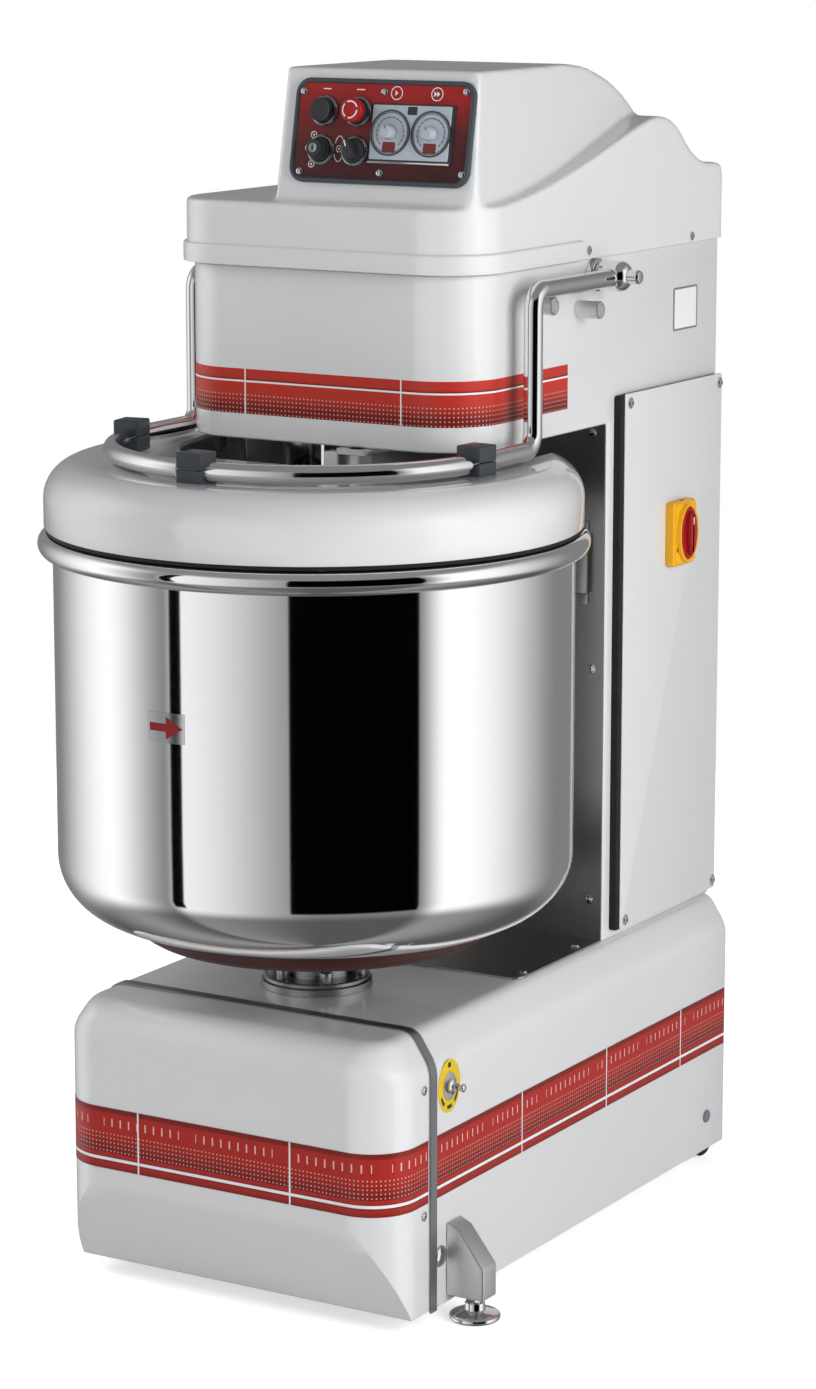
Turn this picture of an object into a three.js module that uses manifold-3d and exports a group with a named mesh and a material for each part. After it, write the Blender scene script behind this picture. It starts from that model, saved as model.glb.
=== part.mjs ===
// Floor-standing spiral dough mixer with a fixed bowl, a lift-up guard and a control console.
// Millimetres, +Z up, front facing -Y. Everything is drawn around the bowl's axis, with z = 0 on the
// floor, and the finished group is then slid along Y so that the origin is under the middle of the part.
import * as THREE from 'three';
import { mergeVertices } from 'three/addons/utils/BufferGeometryUtils.js';
import Module from 'manifold-3d';

const wasm = await Module();
wasm.setup();

// ---------------------------------------------------------------- driving dimensions
const GAP = 0.3;                 // clearance between pieces that touch
const SHEET = 3;                 // sheet of the base and of the column

const BASE_HALF = 187.7;         // half width of the base
const BASE_FRONT = -173.8;
const BASE_REAR = 518.7;
const BASE_BOTTOM = 15.5;
const TUCK_TOP = 108;            // where the front cover's foot starts to curve back
const TUCK_BEND = 88;            // height of the curve's control point
const TUCK_DEPTH = 41;           // how far back the foot ends
const DECK = 284;                // top of the base
const HIP_LOW = 252;             // where the sides start to slope in
const HIP_IN = 167;              // half width of the flat deck
const SEAM = -96;                // joint between front cover and base body
const FRONT_CORNER = 47;         // plan radius of the front cover's corners
const FRONT_BROW = 30;           // radius from the deck to the front face

const COLUMN_HALF = 165.2;       // half width of the column and head
const COLUMN_FRONT = 276.3;
const COLUMN_REAR = 514;
const HEAD_FRONT = 5;
const HEAD_BOTTOM = 809.7;
const HEAD_TOP = 976;
const HEAD_CORNER = 60;

const COVER_HALF = 170;          // half width of the moulded top cover
const COVER_TOP = 1037;
const SKIRT = 3.5;               // how far the skirt stands out
const CONSOLE_LEFT = -56;
const CONSOLE_RIGHT = 163;
const CONSOLE_FRONT = 20;
const CONSOLE_TOP = 1161;
const CONSOLE_TILT = THREE.MathUtils.degToRad(11);

const BOWL_RADIUS = 248;
const BOWL_WALL = 3;
const BOWL_BOTTOM = 361;
const BOWL_CORNER = 60;
const RIM_RADIUS = 11.7;         // rolled rim
const RIM_CENTRE = 250.6;
const RIM_HEIGHT = 721.8;

const LID_RADIUS = 256;
const LID_BOTTOM = 735;
const LID_WALL = 4;
const PIVOT_Y = 245;             // axis that the guard turns about
const PIVOT_Z = 959;
const RING_RADIUS = 190;         // guard tube, along its middle
const RING_HEIGHT = 809;
const TUBE_RADIUS = 9;
const LEG_Y = 83;                // upright legs of the guard tube

const SPIRAL_X = -75;            // axis of the spiral tool
const SPIRAL_Y = 105;
const SPIRAL_MOTOR = [45, 395];
const BOWL_MOTOR = [0, 345];

const SMALL_ROUND = 16;          // facets round pins, buttons and the like
const ROUND = 24;                // facets round a middling turned piece
const LARGE_ROUND = 48;          // facets round the bowl and the lid

// ---------------------------------------------------------------- solids
function toSolid(geometry) {
  const bare = geometry.clone();
  bare.deleteAttribute('normal');
  bare.deleteAttribute('uv');
  const merged = mergeVertices(bare, 1e-4);
  const mesh = new wasm.Mesh({
    numProp: 3,
    vertProperties: new Float32Array(merged.attributes.position.array),
    triVerts: new Uint32Array(merged.index.array),
  });
  return new wasm.Manifold(mesh);
}

function toGeometry(solid) {
  const mesh = solid.getMesh();
  const geometry = new THREE.BufferGeometry();
  geometry.setAttribute('position', new THREE.BufferAttribute(mesh.vertProperties, 3));
  geometry.setIndex(new THREE.BufferAttribute(mesh.triVerts, 1));
  geometry.computeVertexNormals();
  return geometry;
}

function box(x0, x1, y0, y1, z0, z1) {
  const geometry = new THREE.BoxGeometry(x1 - x0, y1 - y0, z1 - z0);
  return geometry.translate((x0 + x1) / 2, (y0 + y1) / 2, (z0 + z1) / 2);
}

const flat = (points) => new THREE.Shape(points.map(([a, b]) => new THREE.Vector2(a, b)));

function extrude(shape, depth, curveSegments = 6) {
  return new THREE.ExtrudeGeometry(shape, { depth, bevelEnabled: false, curveSegments });
}

// A shape in XY raised from z0 to z1.
const alongZ = (shape, z0, z1, segments) => extrude(shape, z1 - z0, segments).translate(0, 0, z0);

// A shape in YZ drawn out from x0 to x1.
function alongX(shape, x0, x1, segments) {
  const geometry = extrude(shape, x1 - x0, segments);
  geometry.rotateZ(Math.PI / 2);
  geometry.rotateY(Math.PI / 2);
  return geometry.translate(x0, 0, 0);
}

// A shape in XZ drawn out from y0 to y1.
function alongY(shape, y0, y1, segments) {
  return extrude(shape, y1 - y0, segments).rotateX(Math.PI / 2).translate(0, y1, 0);
}

// A profile of [radius, height] pairs turned about a vertical axis at (x, y).
function turned(profile, x = 0, y = 0, segments = ROUND) {
  const points = profile.map(([r, z]) => new THREE.Vector2(r, z));
  return new THREE.LatheGeometry(points, segments).rotateX(Math.PI / 2).translate(x, y, 0);
}

const disc = (radius, z0, z1, x = 0, y = 0, segments = ROUND) =>
  turned([[0, z0], [radius, z0], [radius, z1], [0, z1]], x, y, segments);

function ring(outer, inner, z0, z1, x = 0, y = 0, segments = ROUND) {
  return turned([[inner, z0], [outer, z0], [outer, z1], [inner, z1], [inner, z0]], x, y, segments);
}

// A turned profile laid along +X or -X, its heights counted from x = 0.
function turnedAlongX(profile, direction, y, z, segments = SMALL_ROUND) {
  const geometry = turned(profile, 0, 0, segments);
  geometry.rotateY(direction * Math.PI / 2);
  return geometry.translate(0, y, z);
}

function rounded(x0, x1, y0, y1, r) {
  const shape = new THREE.Shape();
  shape.moveTo(x0 + r, y0);
  shape.lineTo(x1 - r, y0);
  shape.absarc(x1 - r, y0 + r, r, -Math.PI / 2, 0, false);
  shape.lineTo(x1, y1 - r);
  shape.absarc(x1 - r, y1 - r, r, 0, Math.PI / 2, false);
  shape.lineTo(x0 + r, y1);
  shape.absarc(x0 + r, y1 - r, r, Math.PI / 2, Math.PI, false);
  shape.lineTo(x0, y0 + r);
  shape.absarc(x0 + r, y0 + r, r, Math.PI, Math.PI * 1.5, false);
  return shape;
}

// Plan of a box whose two front corners are round, such as the head seen from above.
function roundFronted(half, front, rear, r) {
  const shape = new THREE.Shape();
  shape.moveTo(half, rear);
  shape.lineTo(-half, rear);
  shape.lineTo(-half, front + r);
  shape.absarc(-half + r, front + r, r, Math.PI, Math.PI * 1.5, false);
  shape.lineTo(half - r, front);
  shape.absarc(half - r, front + r, r, -Math.PI / 2, 0, false);
  return shape;
}

// Points on an arc, as [radius or a, height or b] pairs, both ends included.
function arc(a, b, r, from, to, steps) {
  const points = [];
  for (let i = 0; i <= steps; i += 1) {
    const angle = THREE.MathUtils.degToRad(from + (to - from) * i / steps);
    points.push([a + r * Math.cos(angle), b + r * Math.sin(angle)]);
  }
  return points;
}

const cut = (geometry, ...tools) =>
  toGeometry(tools.reduce((solid, tool) => solid.subtract(toSolid(tool)), toSolid(geometry)));
const join = (first, ...others) =>
  toGeometry(others.reduce((solid, piece) => solid.add(toSolid(piece)), toSolid(first)));
const common = (first, ...others) =>
  toGeometry(others.reduce((solid, piece) => solid.intersect(toSolid(piece)), toSolid(first)));

// A bar of the given outline swept along a path.
function swept(outline, path, steps) {
  const settings = { steps, bevelEnabled: false, extrudePath: path, curveSegments: 3 };
  return new THREE.ExtrudeGeometry(outline, settings);
}

function circleShape(radius, sides) {
  const points = [];
  for (let i = 0; i < sides; i += 1) {
    const angle = 2 * Math.PI * i / sides;
    points.push([radius * Math.cos(angle), radius * Math.sin(angle)]);
  }
  return flat(points);
}

// ---------------------------------------------------------------- finishes
const FINISH = {
  white: [0xd9dadc, 0.35, 0.1],
  trim: [0x8d9093, 0.45, 0.3],
  steel: [0xc9cbcd, 0.25, 1.0],
  brushed: [0x8f8f8f, 0.4, 1.0],
  dark: [0x2b2b2c, 0.55, 0.2],
  rubber: [0x1b1b1c, 0.8, 0.0],
  red: [0xb5151b, 0.35, 0.0],
  yellow: [0xf2b705, 0.4, 0.0],
  maroon: [0x4a1f1c, 0.5, 0.2],
  motor: [0x5d6468, 0.6, 0.3],
  grey: [0xa9b0b8, 0.4, 0.2],
};

const group = new THREE.Group();
function add(name, geometry, finish, parent = group) {
  const [color, roughness, metalness] = FINISH[finish];
  const mesh = new THREE.Mesh(geometry, new THREE.MeshStandardMaterial({ color, roughness, metalness }));
  mesh.name = name;
  parent.add(mesh);
}

const SIDES = [['left', -1], ['right', 1]];

// ---------------------------------------------------------------- base
// Cross section of the base in XZ, its sides sloping in at the hips, moved outwards by grow.
function hipOutline(bottom, grow) {
  const half = BASE_HALF + grow;
  const slope = Math.atan2(DECK - HIP_LOW, BASE_HALF - HIP_IN);
  const low = HIP_LOW + grow * Math.tan((Math.PI / 2 - slope) / 2);
  const inner = HIP_IN + grow * Math.tan(slope / 2);
  const top = DECK + grow;
  const soften = 7;
  const shape = new THREE.Shape();
  const slopeX = Math.cos(slope) * soften;
  const slopeZ = Math.sin(slope) * soften;
  shape.moveTo(-half, bottom);
  shape.lineTo(half, bottom);
  shape.lineTo(half, low - soften);
  shape.quadraticCurveTo(half, low, half - slopeX, low + slopeZ);
  shape.lineTo(inner + slopeX, top - slopeZ);
  shape.quadraticCurveTo(inner, top, inner - soften, top);
  shape.lineTo(-inner + soften, top);
  shape.quadraticCurveTo(-inner, top, -inner - slopeX, top - slopeZ);
  shape.lineTo(-half + slopeX, low + slopeZ);
  shape.quadraticCurveTo(-half, low, -half, low - soften);
  return shape;
}

function baseBody() {
  const bearingHole = disc(42.5, DECK - 20, DECK + 20);
  const cablePass = box(-140, 140, 300, 490, DECK - 20, DECK + 20);
  const shell = cut(
    alongY(hipOutline(BASE_BOTTOM, 0), SEAM, BASE_REAR, 3),
    alongY(hipOutline(BASE_BOTTOM - 5, -SHEET), SEAM - 5, BASE_REAR - SHEET, 3),
    bearingHole,
    cablePass,
  );
  const lip = 14;
  const edge = BASE_HALF - 1;
  return join(
    shell,
    box(-edge, -edge + lip, SEAM, CASTOR_REAR - 10, BASE_BOTTOM, BASE_BOTTOM + SHEET),
    box(edge - lip, edge, SEAM, CASTOR_REAR - 10, BASE_BOTTOM, BASE_BOTTOM + SHEET),
  );
}

function frontCover() {
  const skin = (inset) => {
    const front = BASE_FRONT + inset;
    const rear = SEAM - GAP + inset * 2;
    const top = DECK - inset;
    const brow = FRONT_BROW - inset;
    const bottom = BASE_BOTTOM - inset * 2;
    const side = new THREE.Shape();
    side.moveTo(rear, bottom);
    side.lineTo(rear, top);
    side.lineTo(front + brow, top);
    side.absarc(front + brow, top - brow, brow, Math.PI / 2, Math.PI, false);
    side.lineTo(front, TUCK_TOP);
    side.quadraticCurveTo(front, TUCK_BEND, front + TUCK_DEPTH, bottom);
    return common(
      alongY(hipOutline(bottom, -inset), front - 5, rear, 3),
      alongZ(roundFronted(BASE_HALF - inset, front, rear + 10, FRONT_CORNER - inset), 0, DECK + 10, 7),
      alongX(side, -BASE_HALF - 5, BASE_HALF + 5, 7),
    );
  };
  return cut(skin(0), skin(SHEET));
}

function seamTrim() {
  const y0 = SEAM - 6.5;
  const y1 = SEAM + 6;
  return cut(
    alongY(hipOutline(BASE_BOTTOM, 1.8), y0, y1, 3),
    alongY(hipOutline(BASE_BOTTOM - 5, 0.2), y0 - 5, y1 + 5, 3),
  );
}

function baseFloor() {
  const half = BASE_HALF - SHEET - GAP;
  const z0 = BASE_BOTTOM + SHEET + GAP;
  const bay = (x, halfWidth, y0, y1) => box(x - halfWidth, x + halfWidth, y0, y1, z0 - 5, z0 + 10);
  const bays = SIDES.flatMap(([, sign]) => [
    bay(sign * WHEEL_X, WHEEL_RADIUS, CASTOR_REAR - 10, BASE_REAR),
    bay(sign * 180, 3, FOOT_Y - 12, FOOT_Y + 12),
  ]);
  return cut(box(-half, half, SEAM + 10, BASE_REAR - SHEET - GAP, z0, z0 + SHEET), ...bays);
}

const FOOT_X = 212;
const FOOT_Y = -58;
const BRACKET_HALF = 13;         // half width of a foot bracket, front to back
const BRACKET_WALL = 4;

// A box-shaped bracket with a sloping face, open underneath, and a thick plate that takes the foot's stem.
function footBracket(sign) {
  const inner = BASE_HALF + GAP;
  const outer = inner + 40;
  const outline = [[inner, 22], [outer, 22], [outer, 54], [inner + 13, 89], [inner, 95]];
  const hollow = [
    [inner + BRACKET_WALL, 10], [outer - BRACKET_WALL, 10], [outer - BRACKET_WALL, 52],
    [inner + 11, 84], [inner + BRACKET_WALL, 88],
  ];
  const mirrored = (points) => flat(points.map(([x, z]) => [sign * x, z]));
  const across = (points, half) => alongY(mirrored(points), FOOT_Y - half, FOOT_Y + half);
  const shell = cut(across(outline, BRACKET_HALF), across(hollow, BRACKET_HALF - BRACKET_WALL));
  const nutPlate = box(-17, 17, -10.5, 10.5, 26, 34).translate(sign * 209, FOOT_Y, 0);
  return cut(join(shell, nutPlate), disc(6.5, 20, 40, sign * FOOT_X, FOOT_Y, SMALL_ROUND));
}

function levellingFoot(sign) {
  const profile = [
    [0, 0], [23.2, 0], [24.3, 2], [24.3, 5], [13, 9],
    [8.5, 10], [8.5, 17], [6, 17], [6, 50], [0, 50],
  ];
  return turned(profile, sign * FOOT_X, FOOT_Y, SMALL_ROUND);
}

const WHEEL_X = 168;
const WHEEL_Y = 494;
const WHEEL_RADIUS = 18;
const WHEEL_HALF = 8.5;          // half width of a wheel
const AXLE_RADIUS = 4;
const CASTOR_REAR = 468;         // back edge of the strip that carries the rear wheels
function castorFrame() {
  const pieces = [box(-182, 182, CASTOR_REAR - 31, CASTOR_REAR, 10.9, 15.2)];
  for (const [, sign] of SIDES) {
    for (const offset of [-11.5, 11.5]) {
      const x = sign * WHEEL_X + offset;
      pieces.push(box(x - 2, x + 2, CASTOR_REAR - 8, WHEEL_Y + 7, 11.5, 25));
    }
    const axle = disc(AXLE_RADIUS, -11, 11, 0, 0, SMALL_ROUND).rotateY(Math.PI / 2);
    pieces.push(axle.translate(sign * WHEEL_X, WHEEL_Y, WHEEL_RADIUS));
  }
  return join(...pieces);
}

function castorWheel(sign) {
  const bore = AXLE_RADIUS + 0.4;
  const shoulder = WHEEL_RADIUS - 3;
  const profile = [
    [bore, -WHEEL_HALF], [shoulder, -WHEEL_HALF], [WHEEL_RADIUS, -WHEEL_HALF + 3],
    [WHEEL_RADIUS, WHEEL_HALF - 3], [shoulder, WHEEL_HALF], [bore, WHEEL_HALF], [bore, -WHEEL_HALF],
  ];
  return turnedAlongX(profile, 1, WHEEL_Y, WHEEL_RADIUS).translate(sign * WHEEL_X, 0, 0);
}

function greaseNipple() {
  const profile = [
    [0, 0], [9, 0], [9, 3], [4.5, 4], [4.5, 9],
    [3, 10], [3, 13], [4, 14], [4, 16], [0, 17.5],
  ];
  return turnedAlongX(profile, 1, -66, 227).translate(BASE_HALF + GAP, 0, 0);
}

function cableGland() {
  const profile = [[0, 0], [14, 0], [14, 6], [11, 7], [11, 14], [6, 18], [0, 18]];
  return turnedAlongX(profile, -1, 468, 70).translate(-BASE_HALF - GAP, 0, 0);
}

add('base_body', baseBody(), 'white');
add('base_front_cover', frontCover(), 'white');
add('base_seam_trim', seamTrim(), 'trim');
add('base_floor', baseFloor(), 'brushed');
add('castor_frame', castorFrame(), 'brushed');
add('grease_nipple', greaseNipple(), 'steel');
add('cable_gland', cableGland(), 'dark');
for (const [side, sign] of SIDES) {
  add(`foot_bracket_${side}`, footBracket(sign), 'brushed');
  add(`levelling_foot_${side}`, levellingFoot(sign), 'steel');
  add(`castor_wheel_${side}`, castorWheel(sign), 'rubber');
}

// ---------------------------------------------------------------- column and head
const DOOR = { y0: 300, y1: 511, z0: 292, z1: 837 };
const DOOR_INNER = 171.6;
const DOOR_OUTER = 173.8;
const PLUNGER = [-117, 16];      // axis of the guard switch's plunger

function upperFrame() {
  const inner = COLUMN_HALF - SHEET;
  const outside = join(
    alongZ(roundFronted(COLUMN_HALF, HEAD_FRONT, COLUMN_REAR, HEAD_CORNER), HEAD_BOTTOM, HEAD_TOP, 8),
    box(-COLUMN_HALF, COLUMN_HALF, COLUMN_FRONT, COLUMN_REAR, DECK + 0.2, HEAD_BOTTOM + 10),
  );
  const headRoom = alongZ(
    roundFronted(inner, HEAD_FRONT + SHEET, COLUMN_REAR - SHEET, HEAD_CORNER - SHEET),
    HEAD_BOTTOM + SHEET, HEAD_TOP + 10, 8,
  );
  const columnRoom = box(
    -inner, inner, COLUMN_FRONT + SHEET, COLUMN_REAR - SHEET, DECK - 10, HEAD_BOTTOM + 20,
  );
  const doorway = box(inner - 5, COLUMN_HALF + 5, DOOR.y0 + 14, DOOR.y1 - 14, DOOR.z0 + 14, DOOR.z1 - 14);
  const rearway = box(-130, 130, COLUMN_REAR - 6, COLUMN_REAR + 6, 330, 940);
  return cut(
    outside, headRoom, columnRoom, doorway, rearway,
    disc(24, HEAD_BOTTOM - 5, HEAD_BOTTOM + 10, SPIRAL_X, SPIRAL_Y, ROUND),
    disc(4.6, HEAD_BOTTOM - 5, HEAD_BOTTOM + 10, ...PLUNGER, SMALL_ROUND),
  );
}

function lidSwitchPlunger() {
  const z = HEAD_BOTTOM - GAP;
  const profile = [
    [0, z - 15], [4, z - 15], [6.5, z - 13], [6.5, z - 7],
    [4, z - 7], [4, z + 18], [0, z + 18],
  ];
  return turned(profile, ...PLUNGER, SMALL_ROUND);
}

// Steel plate on the column's front, with an apron on the deck and a splash wing under the head's left edge.
function innerPanel() {
  const rear = COLUMN_FRONT - GAP;
  const apronFront = 105;
  const wingFront = 130;
  const z0 = DECK + 0.3;
  const z1 = HEAD_BOTTOM - GAP;
  const half = COLUMN_HALF - 0.6;
  const upright = box(-half, half, rear - 2, rear, z0, z1);
  const wing = box(-half + 0.5, -half + 2.5, wingFront, rear - 1, z1 - 36, z1 - 0.5);
  const apron = alongZ(roundFronted(half, apronFront, rear, 14), z0, z0 + 2, 4);
  return join(upright, wing, apron);
}

function rearPanel() {
  return alongY(rounded(-144, 144, 318, 952, 8), COLUMN_REAR + GAP, COLUMN_REAR + 2.3, 3);
}

// The seal shows as a dark strip beside the door's hinge edge.
function doorGasket() {
  const outer = rounded(DOOR.y0 - 10, DOOR.y1 - 1, DOOR.z0 + 1, DOOR.z1 - 1, 4);
  const inner = box(100, 250, DOOR.y0 + 12, DOOR.y1 - 12, DOOR.z0 + 12, DOOR.z1 - 12);
  return cut(alongX(outer, COLUMN_HALF + GAP, DOOR_INNER - GAP, 2), inner);
}

function door() {
  return alongX(rounded(DOOR.y0, DOOR.y1, DOOR.z0, DOOR.z1, 5), DOOR_INNER, DOOR_OUTER, 3);
}

const SWITCH_Y = 412;
const SWITCH_Z = 685;
const SWITCH_FACE = 187;

// A rounded block on the switch's centre, given by its half width, half height and corner radius.
function switchBlock(halfWidth, halfHeight, corner, from, to) {
  const outline = rounded(
    SWITCH_Y - halfWidth, SWITCH_Y + halfWidth, SWITCH_Z - halfHeight, SWITCH_Z + halfHeight, corner,
  );
  return alongX(outline, from, to, 5);
}

const switchPlate = () => switchBlock(24, 33, 6, DOOR_OUTER + GAP, SWITCH_FACE);

function switchKnob() {
  const face = SWITCH_FACE + GAP;
  return join(switchBlock(18, 27.5, 17.9, face, face + 4), switchBlock(7, 25, 6.9, face + 3, face + 7));
}

function breakerBar() {
  const plan = rounded(37.5, 52.5, -2, 22, 4);
  const foot = alongZ(rounded(27, 63, -8, 40, 6), HEAD_BOTTOM - 5, HEAD_BOTTOM - GAP, 3);
  return join(alongZ(plan, 410, HEAD_BOTTOM - 3, 3), foot);
}

add('upper_frame', upperFrame(), 'white');
add('lid_switch_plunger', lidSwitchPlunger(), 'dark');
add('inner_panel', innerPanel(), 'brushed');
add('rear_panel', rearPanel(), 'white');
add('door_gasket', doorGasket(), 'rubber');
add('door', door(), 'white');
add('main_switch_plate', switchPlate(), 'yellow');
add('main_switch_knob', switchKnob(), 'red');
add('breaker_bar', breakerBar(), 'steel');

// ---------------------------------------------------------------- moulded top cover
// Side view of the cover's body in YZ. Behind the console its edge sweeps up to a crest and drops again.
function bodySide(inset) {
  const front = HEAD_FRONT - 6 + inset;
  const rear = BASE_REAR - 5 - inset;
  const shape = new THREE.Shape();
  const bottom = HEAD_TOP - inset * 2;
  const top = COVER_TOP - inset;
  const brow = 14;
  shape.moveTo(front, bottom);
  shape.lineTo(rear, bottom);
  shape.lineTo(rear, 1042);
  shape.quadraticCurveTo(rear, 1054 - inset, rear - 14, 1056 - inset);
  shape.bezierCurveTo(462, 1058 - inset, 440, 1068 - inset, 414, 1089 - inset);
  shape.bezierCurveTo(396, 1104 - inset, 368, 1106 - inset, 346, 1093 - inset);
  shape.bezierCurveTo(290, 1062 - inset, 230, top + 4, 150, top);
  shape.lineTo(front + brow, top);
  shape.quadraticCurveTo(front, top, front, top - brow);
  return shape;
}

// Side view of the console in YZ: a leaning front, a flat top and a long slope down to the crest.
function consoleSide(inset) {
  const foot = COVER_TOP - 30;
  const lean = Math.tan(CONSOLE_TILT);
  const front = CONSOLE_FRONT + inset / Math.cos(CONSOLE_TILT);
  const top = CONSOLE_TOP - inset;
  const brow = 5;
  const shape = new THREE.Shape();
  const at = (z) => front + (z - COVER_TOP) * lean;
  shape.moveTo(at(foot), foot);
  shape.lineTo(440, foot);
  shape.lineTo(440, 1066 - inset);
  shape.quadraticCurveTo(415, 1082 - inset, 403, 1100 - inset);
  shape.quadraticCurveTo(335, 1157 - inset, 225, top);
  shape.lineTo(at(top) + brow, top);
  shape.quadraticCurveTo(at(top), top, at(top - brow), top - brow);
  return shape;
}

function coverSkin(inset) {
  const low = HEAD_TOP - 20;
  const high = CONSOLE_TOP + 20;
  const half = COVER_HALF - inset;
  const body = common(
    alongX(bodySide(inset), -half, half, 7),
    alongZ(roundFronted(half, HEAD_FRONT - 6 + inset, BASE_REAR, HEAD_CORNER - inset), low, high, 8),
  );
  const consolePlan = rounded(
    CONSOLE_LEFT + inset, CONSOLE_RIGHT - inset, CONSOLE_FRONT + inset, 460, 16 - inset,
  );
  const hood = common(
    alongX(consoleSide(inset), CONSOLE_LEFT + inset, CONSOLE_RIGHT - inset, 7),
    alongZ(consolePlan, low, high, 4),
  );
  return join(body, hood);
}

function topCover() {
  const skirtRear = 213;
  const skirtPlan = roundFronted(
    COVER_HALF + SKIRT, HEAD_FRONT - 6 - SKIRT, skirtRear, HEAD_CORNER + SKIRT,
  );
  return cut(join(coverSkin(0), alongZ(skirtPlan, HEAD_TOP, HEAD_TOP + 19, 8)), coverSkin(4));
}

add('top_cover', topCover(), 'white');

// ---------------------------------------------------------------- control panel
// Laid out flat: x along the panel, z up it and -Y outwards, then leaned back onto the console.
const panel = new THREE.Group();
panel.position.set(0, CONSOLE_FRONT, COVER_TOP);
panel.rotation.x = -CONSOLE_TILT;
group.add(panel);

const PANEL = { x0: -40.5, x1: 154.5, z0: 18, z1: 116 };
const CONTROL_X = [-6.5, 30.5];
const CONTROL_Z = [48.5, 85];
const TIMER_X = [68, 112];
const TIMER_Z = 66.3;
const PLATE_FACE = 3.5;          // how far the plate's face stands off the console

// A profile turned about the panel's outward direction, heights counted from the console's face.
function control(profile, x, z, segments = SMALL_ROUND) {
  return turned(profile, 0, 0, segments).rotateX(Math.PI / 2).translate(x, 0, z);
}

const outwards = (shape, from, to, segments) => alongY(shape, -to, -from, segments);

function panelFrame() {
  const outer = rounded(PANEL.x0, PANEL.x1, PANEL.z0, PANEL.z1, 15);
  const inner = rounded(PANEL.x0 + 6, PANEL.x1 - 6, PANEL.z0 + 6, PANEL.z1 - 6, 9);
  return cut(outwards(outer, 0.4, 5, 5), outwards(inner, -5, 10, 5));
}

function panelPlate() {
  const inset = 6 + GAP;
  const plate = rounded(PANEL.x0 + inset, PANEL.x1 - inset, PANEL.z0 + inset, PANEL.z1 - inset, 8.6);
  return outwards(plate, 0.4, PLATE_FACE, 5);
}

function bezel(x, z) {
  const z0 = PLATE_FACE + GAP;
  const profile = [[11.2, z0], [14.7, z0], [14.7, z0 + 2.5], [13.2, z0 + 4], [11.2, z0 + 4], [11.2, z0]];
  return control(profile, x, z);
}

function button(x, z) {
  const z0 = PLATE_FACE + GAP;
  return control([[0, z0 + 2.8], [10.8, z0 + 2.8], [10.8, z0 + 6.6], [9.6, z0 + 7.4], [0, z0 + 7.4]], x, z);
}

function mushroom(x, z) {
  const z0 = PLATE_FACE + GAP + 3.2;
  const profile = [
    [0, z0], [9.6, z0], [9.6, z0 + 3.6], [12.6, z0 + 5.4],
    [13, z0 + 9], [11, z0 + 11.6], [0, z0 + 12.6],
  ];
  return control(profile, x, z);
}

function keySelector(x, z) {
  const z0 = PLATE_FACE + GAP;
  const profile = [
    [0, z0 + 0.4], [10.8, z0 + 0.4], [10.8, z0 + 5], [8, z0 + 9],
    [6.2, z0 + 10], [6.2, z0 + 12], [0, z0 + 12],
  ];
  const slot = box(x - 0.8, x + 0.8, -z0 - 20, -z0 - 10, z - 3.4, z + 3.4);
  return cut(control(profile, x, z), slot);
}

function reverseSelector(x, z) {
  const z0 = PLATE_FACE + GAP;
  const knob = control([[0, z0 + 0.4], [10.8, z0 + 0.4], [10.8, z0 + 5.4], [0, z0 + 5.4]], x, z);
  const grip = outwards(rounded(x - 4, x + 4, z - 10, z + 10, 3.9), z0 + 4.4, z0 + 12, 4);
  return join(knob, grip);
}

function timerPlate() {
  const z0 = PLATE_FACE + GAP;
  return outwards(rounded(45.5, 134.5, 38.5, 93.5, 2), z0, z0 + 2.4, 2);
}

function timerKnob(x) {
  const z0 = PLATE_FACE + GAP + 2.4 + GAP;
  const knob = control([[0, z0], [7.8, z0], [7.4, z0 + 9], [6.6, z0 + 10], [0, z0 + 10]], x, TIMER_Z);
  const mark = rounded(x - 0.6, x + 0.6, TIMER_Z + 3, TIMER_Z + 10, 0.5);
  return cut(knob, outwards(mark, z0 + 9, z0 + 12, 2));
}

add('control_frame', panelFrame(), 'trim', panel);
add('control_plate', panelPlate(), 'red', panel);
add('start_bezel', bezel(CONTROL_X[0], CONTROL_Z[1]), 'steel', panel);
add('stop_bezel', bezel(CONTROL_X[1], CONTROL_Z[1]), 'steel', panel);
add('key_bezel', bezel(CONTROL_X[0], CONTROL_Z[0]), 'steel', panel);
add('reverse_bezel', bezel(CONTROL_X[1], CONTROL_Z[0]), 'steel', panel);
add('start_button', button(CONTROL_X[0], CONTROL_Z[1]), 'dark', panel);
add('stop_button', mushroom(CONTROL_X[1], CONTROL_Z[1]), 'red', panel);
add('key_selector', keySelector(CONTROL_X[0], CONTROL_Z[0]), 'steel', panel);
add('reverse_selector', reverseSelector(CONTROL_X[1], CONTROL_Z[0]), 'dark', panel);
add('timer_plate', timerPlate(), 'grey', panel);
add('timer_knob_slow', timerKnob(TIMER_X[0]), 'grey', panel);
add('timer_knob_fast', timerKnob(TIMER_X[1]), 'grey', panel);

// ---------------------------------------------------------------- bowl and its drive
function bowl() {
  const inner = BOWL_RADIUS - BOWL_WALL;
  const floor = BOWL_BOTTOM + BOWL_WALL;
  const corner = BOWL_RADIUS - BOWL_CORNER;
  const level = BOWL_BOTTOM + BOWL_CORNER;
  const profile = [
    [0, BOWL_BOTTOM],
    ...arc(corner, level, BOWL_CORNER, -90, 0, 5),
    ...arc(RIM_CENTRE, RIM_HEIGHT, RIM_RADIUS, -120, 120, 8),
    [inner, RIM_HEIGHT + 4],
    ...arc(corner, level, BOWL_CORNER - BOWL_WALL, 0, -90, 5),
    [0, floor],
  ];
  return turned(profile, 0, 0, LARGE_ROUND);
}

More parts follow.
